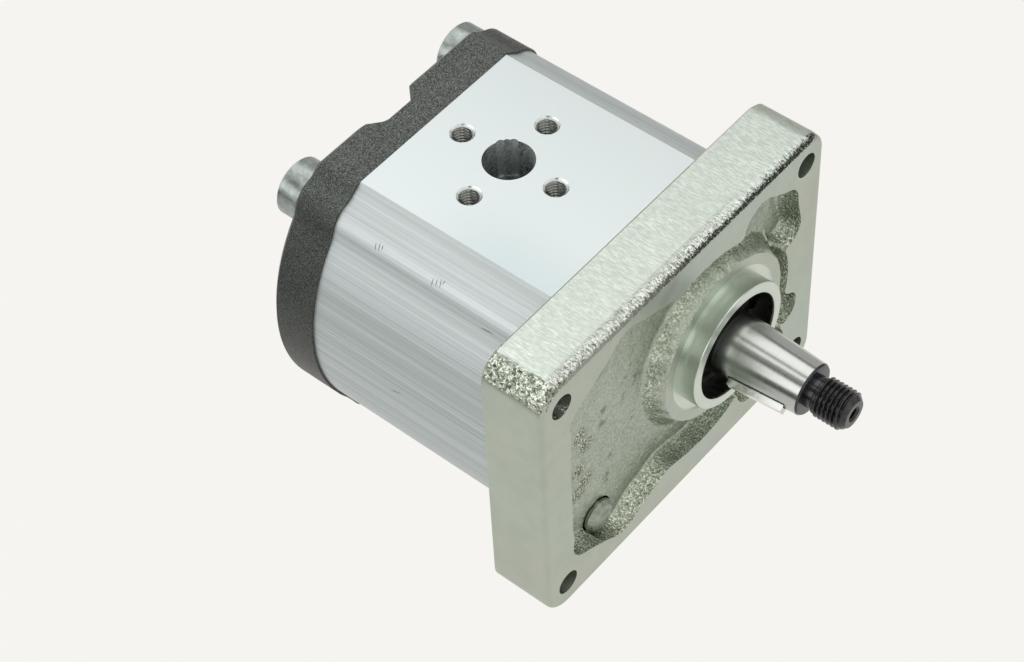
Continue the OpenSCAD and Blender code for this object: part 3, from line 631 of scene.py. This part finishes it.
def phosphated_iron():
    """Dark cast cover: grey brown with a fine grain and light specks, and painted shade on the
    faces that look towards -Y.
    """
    g = Graph("phosphated_iron").set(Metallic=0.9, Roughness=0.44)
    grain = g.noise(3200, 3, 0.75)
    patches = g.noise(90, 3)
    specks = g.cells(1900)
    base = g.ramp(grain, (0.39, (0.016, 0.018, 0.017)), (0.50, (0.082, 0.093, 0.088)),
                  (0.62, (0.27, 0.30, 0.287)))
    base = g.mix(0.3, base, g.ramp(patches, (0.3, (0.06, 0.065, 0.058)),
                                   (0.7, (0.12, 0.115, 0.10))))
    base = g.mix(g.times(g.band(specks, 0.17, 0.06), 0.7), base, (0.36, 0.38, 0.35))
    # Painted shade on the faces that look towards -Y
    side = g.band(g.axis("Y", "Normal"), -0.35, -0.95)
    g.color(g.mix(g.times(side, 0.42), base, (0.02, 0.0225, 0.02)))
    n = g.bump(grain, 0.00016, 0.9)
    g.bump(g.noise(420, 2), 0.00016, 0.5, n)
    return g.material


def ground_steel():
    """Ground shaft: bright, with very fine rings, a nick and a few dark marks."""
    g = Graph("ground_steel").set(Metallic=1.0)
    rings = g.noise(1.0, 3, 0.6, g.place((5200, 90, 90)))
    cloud = g.noise(1.0, 2, 0.5, g.place((30, 260, 260)))
    marks = g.band(g.noise(330, 3, 0.6), 0.69, 0.74)
    c = g.mix(0.5, g.ramp(rings, (0.3, (0.43, 0.45, 0.43)), (0.7, (0.54, 0.56, 0.54))),
              g.ramp(cloud, (0.3, (0.45, 0.47, 0.45)), (0.7, (0.53, 0.55, 0.53))))
    g.color(g.mix(g.times(marks, 0.6), c, (0.16, 0.16, 0.15)))
    g.roughness(g.ramp(rings, (0.3, 0.20), (0.7, 0.26)))
    g.bump(rings, 0.000004, 0.4)
    return g.material


def black_thread():
    """Hardened and blackened threaded end, slightly glossy."""
    g = Graph("black_thread").set(Metallic=0.75)
    cloud = g.noise(300, 3)
    g.color(g.ramp(cloud, (0.3, (0.026, 0.027, 0.030)), (0.7, (0.075, 0.076, 0.082))))
    g.roughness(g.ramp(cloud, (0.3, 0.14), (0.7, 0.25)))
    g.bump(g.noise(2500, 2), 0.000012, 0.4)
    return g.material


def plain_metal(name, color, rough, metallic=1.0, spread=0.12, scale=500, depth=0.00002):
    """Metal with a little cloud in its colour, gloss and surface."""
    g = Graph(name).set(Metallic=metallic)
    cloud = g.noise(scale, 3)
    low = tuple(c * (1 - spread) for c in color)
    high = tuple(min(1.0, c * (1 + spread)) for c in color)
    g.color(g.ramp(cloud, (0.3, low), (0.7, high)))
    g.roughness(g.ramp(cloud, (0.3, rough * 0.85), (0.7, rough * 1.15)))
    g.bump(g.noise(scale * 4, 2), depth, 0.5)
    return g.material


PLATE = zinc_plate()
CAST = zinc_cast()
TURNED = zinc_turned()
ALUMINIUM = drawn_aluminium()
BORED = bored_aluminium()
IRON = phosphated_iron()
GROUND = ground_steel()
BLACK = black_thread()
# Near black, for painted shade in narrow gaps and slots
GAP_SHADE = plain_metal("gap_shadow", (0.025, 0.027, 0.025), 0.6)
KEY = plain_metal("key_steel", (0.60, 0.62, 0.59), 0.20)
GEAR = plain_metal("gear_steel", (0.56, 0.56, 0.55), 0.28)


def screw_zinc():
    """Screws: mottled blue grey heads and greener ends that show in the pocket."""
    g = Graph("screw_zinc").set(Metallic=1.0)
    cloud = g.noise(450, 3, 0.6)
    head = g.ramp(cloud, (0.34, (0.26, 0.295, 0.285)), (0.5, (0.33, 0.37, 0.355)),
                  (0.66, (0.42, 0.465, 0.45)))
    end = g.ramp(cloud, (0.34, (0.20, 0.24, 0.20)), (0.66, (0.40, 0.45, 0.38)))
    g.color(g.mix(g.band(g.axis("X"), -12 * MM, -8 * MM), head, end))
    g.roughness(g.ramp(cloud, (0.3, 0.30), (0.7, 0.42)))
    g.bump(g.noise(1600, 2), 0.00010, 0.5)
    return g.material


SCREW = screw_zinc()
TAPPED = plain_metal("tapped_aluminium", (0.22, 0.23, 0.21), 0.20, spread=0.15, depth=0.000004)
SUNK = plain_metal("sunk_aluminium", (0.76, 0.80, 0.79), 0.20, spread=0.04, depth=0.000004)


def seal_bore():
    """Bore of the seal, painted dark as the shade inside it, with a painted highlight: a lighter
    mouth on one side, where the camera sees only its reflection in the shaft."""
    g = Graph("seal_bore").set(Metallic=1.0)
    cloud = g.noise(500, 3)
    # Painted shade over the whole bore
    dark = g.ramp(cloud, (0.3, (0.06, 0.06, 0.055)), (0.7, (0.14, 0.14, 0.125)))
    # Painted highlight on one side of the mouth
    toward = g.add(g.times(g.axis("Z"), 0.83), g.times(g.axis("Y"), -0.56))
    mouth = g.times(g.band(toward, 0.0, 5 * MM), g.band(g.axis("X"), 0.3 * MM, 2.3 * MM))
    g.color(g.mix(mouth, dark, (0.58, 0.61, 0.57)))
    g.roughness(g.ramp(cloud, (0.3, 0.30), (0.7, 0.40)))
    g.bump(g.noise(2000, 2), 0.00002, 0.5)
    return g.material


LINING = seal_bore()
BLOCK = plain_metal("bearing_alloy", (0.66, 0.63, 0.56), 0.38)
BUSH = plain_metal("bush_bronze", (0.50, 0.38, 0.22), 0.36)
DOWEL = plain_metal("dowel_steel", (0.60, 0.60, 0.60), 0.22)
SPRING = plain_metal("spring_steel", (0.16, 0.16, 0.17), 0.40)
RUBBER = plain_metal("seal_rubber", (0.018, 0.018, 0.018), 0.55, metallic=0.0)
PLASTIC = plain_metal("backup_plastic", (0.80, 0.78, 0.70), 0.50, metallic=0.0, spread=0.05)

NODE_MATERIALS = {
    "front_cover": CAST, "pump_body": ALUMINIUM, "rear_cover": IRON, "drive_gear_shaft": GROUND,
    "shaft_key": KEY, "driven_gear_shaft": GEAR, "front_bearing_block": BLOCK,
    "rear_bearing_block": BLOCK, "front_drive_bush": BUSH, "front_driven_bush": BUSH,
    "rear_drive_bush": BUSH, "rear_driven_bush": BUSH, "shaft_seal_case": RUBBER,
    "shaft_seal_lip": RUBBER, "seal_garter_spring": SPRING, "seal_retaining_ring": SPRING,
    "front_body_seal": RUBBER, "rear_body_seal": RUBBER, "front_pressure_seal": RUBBER,
    "rear_pressure_seal": RUBBER, "front_backup_ring": PLASTIC, "rear_backup_ring": PLASTIC,
    "cover_screws": SCREW, "front_dowels": DOWEL, "rear_dowels": DOWEL,
}
for node, material in NODE_MATERIALS.items():
    mesh = nodes[node].data
    mesh.materials.clear()
    mesh.materials.append(material)


# Front cover: a plate with rounded edges, cut by the cast surface of its pocket

# The pocket is a union of drafted strokes, each from one disc (y, z, radius) to another
POCKET = [
    ((0, 0, 27), (-7, 6.5, 27)), ((0, 0, 27), (-7, -6.5, 27)),
    ((-7, 6.5, 27), (-20, 3, 29)), ((-7, -6.5, 27), (-20, -3, 29)),
    ((-14, 5, 29), (-40, 4, 20)), ((-14, -5, 28), (-40, -4, 20)),
    ((-51, 14, 9.5), (-51, -16, 9.5)), ((-55.2, 23.6, 5.3), (-55.2, -24.6, 5.3)),
    ((-55.2, 24, 5.3), (-38.6, 33, 6.6)), ((-38.6, 33, 6.6), (-26.5, 27.5, 8)),
    ((-48, 18, 11), (-30, 20, 14)), ((-48, -18, 11), (-30, -20, 13)),
    ((-55.2, -25, 5.3), (-40.5, -31.8, 6.3)), ((-40.5, -31.8, 6.3), (-27, -23.5, 8.5)),
    ((14.2, 30.8, 7), (23.8, 26.4, 5.6)), ((23.8, 26.4, 5.6), (26.4, 16, 5.4)),
    ((5, 18, 13), (16, 22, 10)), ((26.7, -14.6, 5.3), (20, -12, 8)),
    ((14.2, -30.6, 7), (21.5, -25, 5.4)), ((5, -18, 13), (16, -20, 9)),
]


def stroke_distance(y, z, a, b):
    """Distance inside a stroke whose radius changes evenly from disc a to disc b."""
    dy, dz = b[0] - a[0], b[1] - a[1]
    t = np.clip(((y - a[0]) * dy + (z - a[1]) * dz) / (dy * dy + dz * dz), 0, 1)
    return a[2] + t * (b[2] - a[2]) - np.hypot(y - a[0] - t * dy, z - a[1] - t * dz)


def soft_max(a, b, blend):
    h = np.clip(0.5 + 0.5 * (a - b) / blend, 0, 1)
    return b * (1 - h) + a * h + blend * h * (1 - h)


def grid_noise(y, z, size, seed):
    flat = [noise.noise(Vector((a / size, b / size, seed))) for a, b in zip(y.flat, z.flat)]
    return np.array(flat).reshape(y.shape)


def pocket_cutter():
    """Closed block in front of the cast surface. Outside the pocket its rear side stays above
    the flange face, so that it cuts nothing there."""
    step = 0.3
    y, z = np.meshgrid(np.arange(-63.0, 34.5, step), np.arange(-41.2, 41.3, step), indexing="ij")
    inside = np.full(y.shape, -50.0)
    for a, b in POCKET:
        inside = soft_max(inside, stroke_distance(y, z, a, b), 1.6)
    from_boss = np.hypot(y, z) - BOSS_R
    coarse = grid_noise(y, z, 3.4, 1.0)
    middle = grid_noise(y, z, 1.5, 5.0)
    fine = grid_noise(y, z, 0.7, 9.0)
    wall = inside + 0.22 * coarse
    slope = from_boss + 0.45 * coarse + 0.2 * middle

    def sink(d, width):
        return 1 - (1 - np.clip(d / width, 0, 1)) ** 2.4

    shoulder = 1 - np.exp(-np.clip(slope, 0, None) / 0.9)
    depth = POCKET_DEPTH * np.minimum(sink(wall, 3.3), sink(slope, 5.0) * shoulder)
    steep = 1 - np.clip(depth / POCKET_DEPTH, 0, 1) ** 5
    rough = ((0.08 + 0.16 * steep) * coarse + (0.07 + 0.16 * steep) * middle
             + (0.05 + 0.14 * steep) * fine)
    edge = np.minimum(inside, from_boss)
    x = np.where(edge > 0, -depth + rough * np.clip(edge / 0.8, 0, 1),
                 np.clip(-edge * 2.0, 0.0, 0.6))
    n, m = y.shape
    verts = [(float(x[i, j]), float(y[i, j]), float(z[i, j])) for i in range(n) for j in range(m)]
    faces = [(i * m + j, i * m + j + 1, (i + 1) * m + j + 1, (i + 1) * m + j)
             for i in range(n - 1) for j in range(m - 1)]
    rim = ([(i, 0) for i in range(n)] + [(n - 1, j) for j in range(1, m)]
           + [(i, m - 1) for i in range(n - 2, -1, -1)] + [(0, j) for j in range(m - 2, 0, -1)])
    base = len(verts)
    verts += [(4.0, float(y[i, j]), float(z[i, j])) for i, j in rim]
    k = len(rim)
    for a in range(k):
        b = (a + 1) % k
        ia, ib = rim[a][0] * m + rim[a][1], rim[b][0] * m + rim[b][1]
        faces.append((ia, ib, base + b, base + a))
    faces.append(tuple(base + a for a in range(k)))
    return add_mesh("pocket_cutter", verts, faces, [CAST])


def plate():
    """Flange plate as stacked rounded rectangles. Its skin is torn along the upper edges."""
    edge, rear, corner = 1.6, 0.7, 7.5
    top_steps, side_steps, end_steps, corner_steps = 300, 120, 90, 24
    layers, rim_steps = 30, 8
    torn_from = -2.6

    def outline():
        pts = []
        for (sy, sz), start, steps in (((1, 1), 0, top_steps), ((-1, 1), 90, end_steps),
                                       ((-1, -1), 180, side_steps), ((1, -1), 270, end_steps)):
            cy, cz = sy * (HALF_W - corner), sz * (HALF_H - corner)
            for s in range(corner_steps + 1):
                a = math.radians(start + 90 * s / corner_steps)
                pts.append((cy, cz, math.cos(a), math.sin(a)))
            a = math.radians(start + 90)
            end = ((-cy, cz) if start in (0, 180) else (cy, -cz))
            for s in range(1, steps):
                f = s / steps
                pts.append((cy + (end[0] - cy) * f, cz + (end[1] - cz) * f,
                            math.cos(a), math.sin(a)))
        return pts

    loop = outline()

    def torn(x, y, z, c, s):
        """Depth of the torn skin, from the upper front edge and from the corner it leads to."""
        front = unit(x - torn_from) * unit((s - 0.3) * 2.5)
        corner_band = unit((s - 0.35) / 0.1) * unit((0.99 - s) / 0.05) if c < 0 else 0.0
        v = Vector((x, y, z))
        tooth = 0.5 + 0.6 * noise.noise(v / 0.55) + 0.45 * noise.noise(v / 1.3)
        return (0.34 * front + 0.30 * corner_band) * max(0.0, tooth)

    def ring(x, inset, rough):
        pts = []
        for cy, cz, c, s in loop:
            y, z = cy + (corner - inset) * c, cz + (corner - inset) * s
            dip = rough * torn(x, y, z, c, s) if s > 0.3 else 0.0
            back = dip * 0.6 if x > torn_from else 0.0
            pts.append((x - back, MID_Y + y - dip * c, z - dip * s))
        return pts

    rings = [ring(-COVER_T, rear, 0.0), ring(-COVER_T + rear, 0.0, 0.5)]
    for k in range(1, layers):
        rings.append(ring(-COVER_T + rear + (COVER_T - rear - edge) * k / layers, 0.0, 1.0))
    for s in range(rim_steps + 1):
        a = math.radians(90 * s / rim_steps)
        rough = 1.0 if s < rim_steps else 0.0
        rings.append(ring(-edge + edge * math.sin(a), edge - edge * math.cos(a), rough))
    return stack("front_cover_plated", rings, [PLATE])


def build_front_cover():
    cover = plate()
    combine(cover, pocket_cutter())
    # Turned pilot with its relief, the seal's bore and the shaft's passage
    foot_r, relief_r, inner_r = PILOT_R - 0.35, 21.0, SEAL_BORE_R - 0.5
    relief = lathe("relief", [(foot_r, -0.4), (relief_r - 0.3, -0.4), (relief_r, -0.1),
                              (relief_r, 1.0), (foot_r, 1.0)], [TURNED])
    combine(cover, relief)
    pilot = lathe("pilot", [(inner_r, -2.0), (PILOT_R, -2.0), (PILOT_R, PILOT_H - 0.35),
                            (PILOT_R - 0.1, PILOT_H - 0.12), (PILOT_R - 0.35, PILOT_H),
                            (inner_r, PILOT_H)], [TURNED], segments=160)
    combine(cover, pilot, "UNION")
    groove = (-2.74, -1.5)
    bore = [(PASSAGE_R, -25.0), (PASSAGE_R, SEAL_SEAT), (SEAL_BORE_R, SEAL_SEAT),
            (SEAL_BORE_R, groove[0]), (RING_GROOVE_R, groove[0]), (RING_GROOVE_R, groove[1]),
            (SEAL_BORE_R, groove[1]), (SEAL_BORE_R, PILOT_H - 0.5),
            (SEAL_BORE_R + 0.25, PILOT_H - 0.2), (SEAL_BORE_R + 0.6, PILOT_H + 1.0)]
    combine(cover, turned("bore", bore, [LINING], 160))
    for y in (MID_Y - MOUNT_Y, MID_Y + MOUNT_Y):
        for z in (-MOUNT_Z, MOUNT_Z):
            combine(cover, rod("hole", -25, 5, MOUNT_HOLE_R, y, z, 40, [PLATE]))
    for y, z in SCREWS:
        combine(cover, rod("tap", -25, 1.5, SCREW_BORE_R, y, z, 40, [CAST]))
        # A slightly wider mouth round each tapped hole, painted dark as shade
        mouth = rod("tap_mouth", -POCKET_DEPTH - 1.6, -POCKET_DEPTH + 0.7, SCREW_BORE_R + 0.43,
                    y, z, 48, [GAP_SHADE])
        combine(cover, mouth)
    for y, z in DOWELS:
        end = BODY_FRONT + DOWEL_BORE_DEPTH
        combine(cover, rod("dowel", -25, end, DOWEL_BORE_R, y, z, 32, [PLATE]))
    auto_smooth(cover, 40)
    return cover


front = build_front_cover()
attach(front, "housing")
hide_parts("front_cover")


# Body with cut threads in its port holes

# Bolt holes of both ports: side of the body, radius of their circle, first angle, the thread's
# inner and outer radius and pitch, and the radius of the countersink
PORT_BOLTS = [(1, 15.0, 0, 2.5, 3.0, 1.0, 3.3), (-1, 20.0, 45, 3.4, 4.0, 1.25, 4.3)]
# Side and radius of both port bores
PORT_WALLS = [(1, 6.76), (-1, 10.01)]


def port_thread(inner_r, outer_r, pitch):
    def radius(z, t):
        return inner_r - 0.02 + (outer_r - inner_r) * v_groove(t)

    return threaded_rod("thread_cut", 11.0, radius, pitch, 40, 10, [TAPPED])


def cut_flat(body, cutter, x, y, side=1, lift=0.0):
    """Cuts a shape that stands along +Z into the flat of one side, 1 above and -1 below. It
    starts the lift above the flat."""
    turn = Matrix.Rotation(math.pi if side > 0 else 0.0, 4, "X")
    cutter.data.transform(Matrix.Translation((x * MM, y * MM, side * (FLAT_Z + lift) * MM)) @ turn)
    combine(body, cutter)


def build_body():
    body = copy_node("pump_body", "body_threaded")
    body.data.materials.append(ALUMINIUM)
    for side, circle_r, start, inner_r, outer_r, pitch, mouth_r in PORT_BOLTS:
        for k in range(4):
            a = math.radians(start + 90 * k)
            x, y = PORT_X + circle_r * math.cos(a), MID_Y + circle_r * math.sin(a)
            cut_flat(body, port_thread(inner_r, outer_r, pitch), x, y, side, 0.2)
            sink = plug("sink", (mouth_r + 0.9, -0.9), (mouth_r - 0.35, 0.35), [SUNK])
            cut_flat(body, sink, x, y, side)
    # Scalloped edge where a form tool has touched the pressure port
    first, last = PORT_STREAKS
    for f, lobe_r in ((0, 1.25), (1, 1.25), (0.5, 1.1)):
        x = first[0] + f * (last[0] - first[0]) - PORT_X
        y = first[1] + f * (last[1] - first[1]) - MID_Y
        k = 6.0 / math.hypot(x, y)
        lobe = plug("lobe", (lobe_r, -1.0), (lobe_r, 13.0), [BORED], 32)
        cut_flat(body, lobe, PORT_X + x * k, MID_Y + y * k)
    for side, r in PORT_WALLS:
        wall = plug("port_wall", (r, 0.0), (r, 19.0), [BORED], 96)
        cut_flat(body, wall, PORT_X, MID_Y, side, 1.0)
    auto_smooth(body)
    return body


body = build_body()
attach(body, "housing")
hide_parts("pump_body")


# Rear cover with the rounded edges of a casting

def build_rear_cover():
    cover = copy_node("rear_cover", "rear_cover_cast")
    cover.data.materials.append(IRON)
    bm = bmesh.new()
    bm.from_mesh(cover.data)
    bmesh.ops.dissolve_limit(bm, angle_limit=math.radians(0.6), verts=bm.verts, edges=bm.edges)
    # Fillets along the two long edges at the foot of the relief between the pads
    foot = (REAR_FACE + REAR_RELIEF_DEPTH) * MM
    feet = [e for e in bm.edges
            if abs(e.verts[0].co.z - e.verts[1].co.z) > 20 * MM
            and all(abs(v.co.x - foot) < 0.6 * MM and abs(v.co.y - MID_Y * MM) < 25 * MM
                    for v in e.verts)]
    bmesh.ops.bevel(bm, geom=feet, offset=1.3 * MM, segments=4, profile=0.5, affect="EDGES")
    bm.to_mesh(cover.data)
    bm.free()
    mod = cover.modifiers.new("rounding", "BEVEL")
    mod.width = 0.55 * MM
    mod.segments = 3
    mod.limit_method = "ANGLE"
    mod.angle_limit = math.radians(28)
    bake(cover)
    auto_smooth(cover, 40)
    return cover


rear = build_rear_cover()
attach(rear, "housing")
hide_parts("rear_cover")


# Drive shaft with its cut thread

def build_shaft():
    shaft = copy_node("drive_gear_shaft", "drive_shaft_threaded")
    shaft.data.materials.append(GROUND)
    combine(shaft, rod("cut_off", TAPER_START, 45.0, 12))
    taper = turned("taper", [(taper_r(TAPER_START), TAPER_START), (TAPER_END_R, TAPER_END)],
                   [GROUND], 256)
    # Seat of the key and a gap along the side that the camera sees, both painted dark as shade
    for low, high in (((-0.03, -1.53, -3.63), (16.3, 1.53, 3.0)),
                      ((-0.3, -1.9, -1.3), (16.3, 2.6, 3.0))):
        gap = box("key_gap", low, high, [GAP_SHADE])
        gap.data.transform(Matrix.Rotation(math.radians(KEY_ANGLE - 90), 4, "X")
                           @ Matrix.Translation((KEY_START * MM, 0, taper_r(KEY_START) * MM))
                           @ Matrix.Rotation(math.atan(TAPER_SLOPE), 4, "Y"))
        combine(taper, gap)

    def radius(z, t):
        """The taper's broken edge, the neck, then the thread with both its ends run out."""
        x = TAPER_END + z
        if z < 0.6:
            return TAPER_END_R - 0.45 * z / 0.6
        if x < THREAD_START:
            return NECK_R
        start, end = unit(x - THREAD_START), unit((SHAFT_TIP - x) / 1.7)
        crest = min(ROOT_R + (CREST_R - ROOT_R) * start, TIP_R + (CREST_R - TIP_R) * end)
        low = min(ROOT_R, crest)
        return low + (crest - low) * v_groove(t, 0.12)

    end = threaded_rod("shaft_end", SHAFT_TIP - TAPER_END, radius, THREAD_PITCH, 72, 14, [BLACK])
    end.data.transform(Matrix.Translation((TAPER_END * MM, 0, 0))
                       @ Matrix.Rotation(math.pi / 2, 4, "Y"))
    centre = [(1.8, SHAFT_TIP - 4.0), (1.8, SHAFT_TIP - 0.6), (2.3, SHAFT_TIP + 0.01),
              (2.3, SHAFT_TIP + 1.2)]
    combine(end, turned("centre", centre, [BLACK], 48))
    for o in (shaft, taper, end):
        auto_smooth(o)
    return join("drive_shaft_threaded", shaft, taper, end)


shaft = build_shaft()
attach(shaft, "drive_shaft")
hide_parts("drive_gear_shaft")


# Floor, lights, world and camera

def stage_material(name, color):
    """Pale stage surface that camera, glossy and transmission rays see at a strength of 1 and
    that still takes the object's shadow."""
    g = Graph(name).set(Base_Color=(*color, 1), Roughness=0.9)
    light = g.tree.nodes.new("ShaderNodeEmission")
    light.inputs["Color"].default_value = (*color, 1)
    light.inputs["Strength"].default_value = 1.0
    mix = g.tree.nodes.new("ShaderNodeMixShader")
    g.link(g.times(seen_directly(g.tree), 0.9), mix.inputs["Fac"])
    g.link(g.shader.outputs[0], mix.inputs[1])
    g.link(light.outputs[0], mix.inputs[2])
    g.link(mix.outputs[0], g.tree.nodes["Material Output"].inputs["Surface"])
    return g.material


BACKGROUND = (0.945, 0.926, 0.893)

bpy.ops.mesh.primitive_plane_add(size=30, location=(0, 0, -0.35))
floor = bpy.context.object
floor.name = "floor"
floor.data.materials.append(stage_material("pale_floor", BACKGROUND))

world = bpy.data.worlds.new("studio")
bpy.context.scene.world = world
world.use_nodes = True
sky = world.node_tree
back = sky.nodes["Background"]
back.inputs["Color"].default_value = (*BACKGROUND, 1)
# Seen at a strength of 1, it lights the object at half of that
brightness = math_node(sky, "ADD", math_node(sky, "MULTIPLY", seen_directly(sky), 0.5), 0.5)
sky.links.new(brightness, back.inputs["Strength"])

# Where the strips have their middles along the axis
LAMP_MIDDLE = Vector((-0.75, 0.0, 0.0))


def strip(name, low, high, radiance=None, card=None, reach=1.3):
    """Long strip beside the pump, parallel to its axis, that spans the directions from low to
    high degrees round it, from +Y towards +Z: a soft lamp of that radiance, or a card of that
    grey that only reflections see."""
    length = 3.0
    middle = math.radians((low + high) / 2)
    width = 2 * reach * math.tan(math.radians((high - low) / 2))
    away = Vector((0, math.cos(middle), math.sin(middle)))
    if radiance is not None:
        data = bpy.data.lights.new(name, "AREA")
        data.shape = "RECTANGLE"
        data.size, data.size_y = length, width
        data.energy = radiance * math.pi * length * width
        obj = bpy.data.objects.new(name, data)
        bpy.context.scene.collection.objects.link(obj)
    else:
        w, h = length / 2, width / 2
        material = Graph(name).set(Base_Color=(card, card, card, 1), Roughness=0.9).material
        obj = add_mesh(name, [(-w, -h, 0), (w, -h, 0), (w, h, 0), (-w, h, 0)], [(0, 1, 2, 3)],
                       [material], smooth=False, scale=1.0)
        obj.visible_camera = False
        obj.visible_shadow = False
        obj.visible_diffuse = False
    obj.location = LAMP_MIDDLE + away * reach
    x_axis = Vector((1, 0, 0))
    obj.rotation_euler = Matrix((x_axis, away.cross(x_axis), away)).transposed().to_euler()


strip("overhead", 50, 90, radiance=0.8)
strip("second", 101, 113, radiance=0.9)
strip("side", 139, 169, radiance=1.05)
strip("card_back", -45, 30, card=0.8, reach=1.2)
strip("card_low_back", 35, 48, card=0.2)
strip("card_split", 91, 100, card=0.35)
strip("card_grey", 114, 124, card=0.5)
strip("card_dark", 125, 137, card=0.2)
strip("card_side", 172, 196, card=0.1)

# Camera fitted to the photo: its focal length and the picture's width are in pixels
AZIMUTH, ELEVATION, ROLL = (math.radians(v) for v in (42.338, 50.373, -3.371))
FOCAL_PX = 2606.899
PHOTO_WIDTH_PX = 1024.0
SENSOR_WIDTH = 36.0

back_axis = Vector((math.sin(AZIMUTH) * math.cos(ELEVATION),
                    -math.cos(AZIMUTH) * math.cos(ELEVATION), math.sin(ELEVATION)))
level = Vector((math.cos(AZIMUTH), math.sin(AZIMUTH), 0.0))
above = back_axis.cross(level)
right = level * math.cos(ROLL) + above * math.sin(ROLL)
up = above * math.cos(ROLL) - level * math.sin(ROLL)
camera_data = bpy.data.cameras.new("camera")
camera_data.sensor_width = SENSOR_WIDTH
camera_data.lens = FOCAL_PX * SENSOR_WIDTH / PHOTO_WIDTH_PX
camera_data.clip_start = 0.01
camera = bpy.data.objects.new("camera", camera_data)
bpy.context.scene.collection.objects.link(camera)
rotation = Matrix((right, up, back_axis)).transposed()
camera.matrix_world = Matrix.Translation((0.240171, -0.342505, 0.508531)) @ rotation.to_4x4()
bpy.context.scene.camera = camera

bpy.context.scene.view_settings.view_transform = "Standard"

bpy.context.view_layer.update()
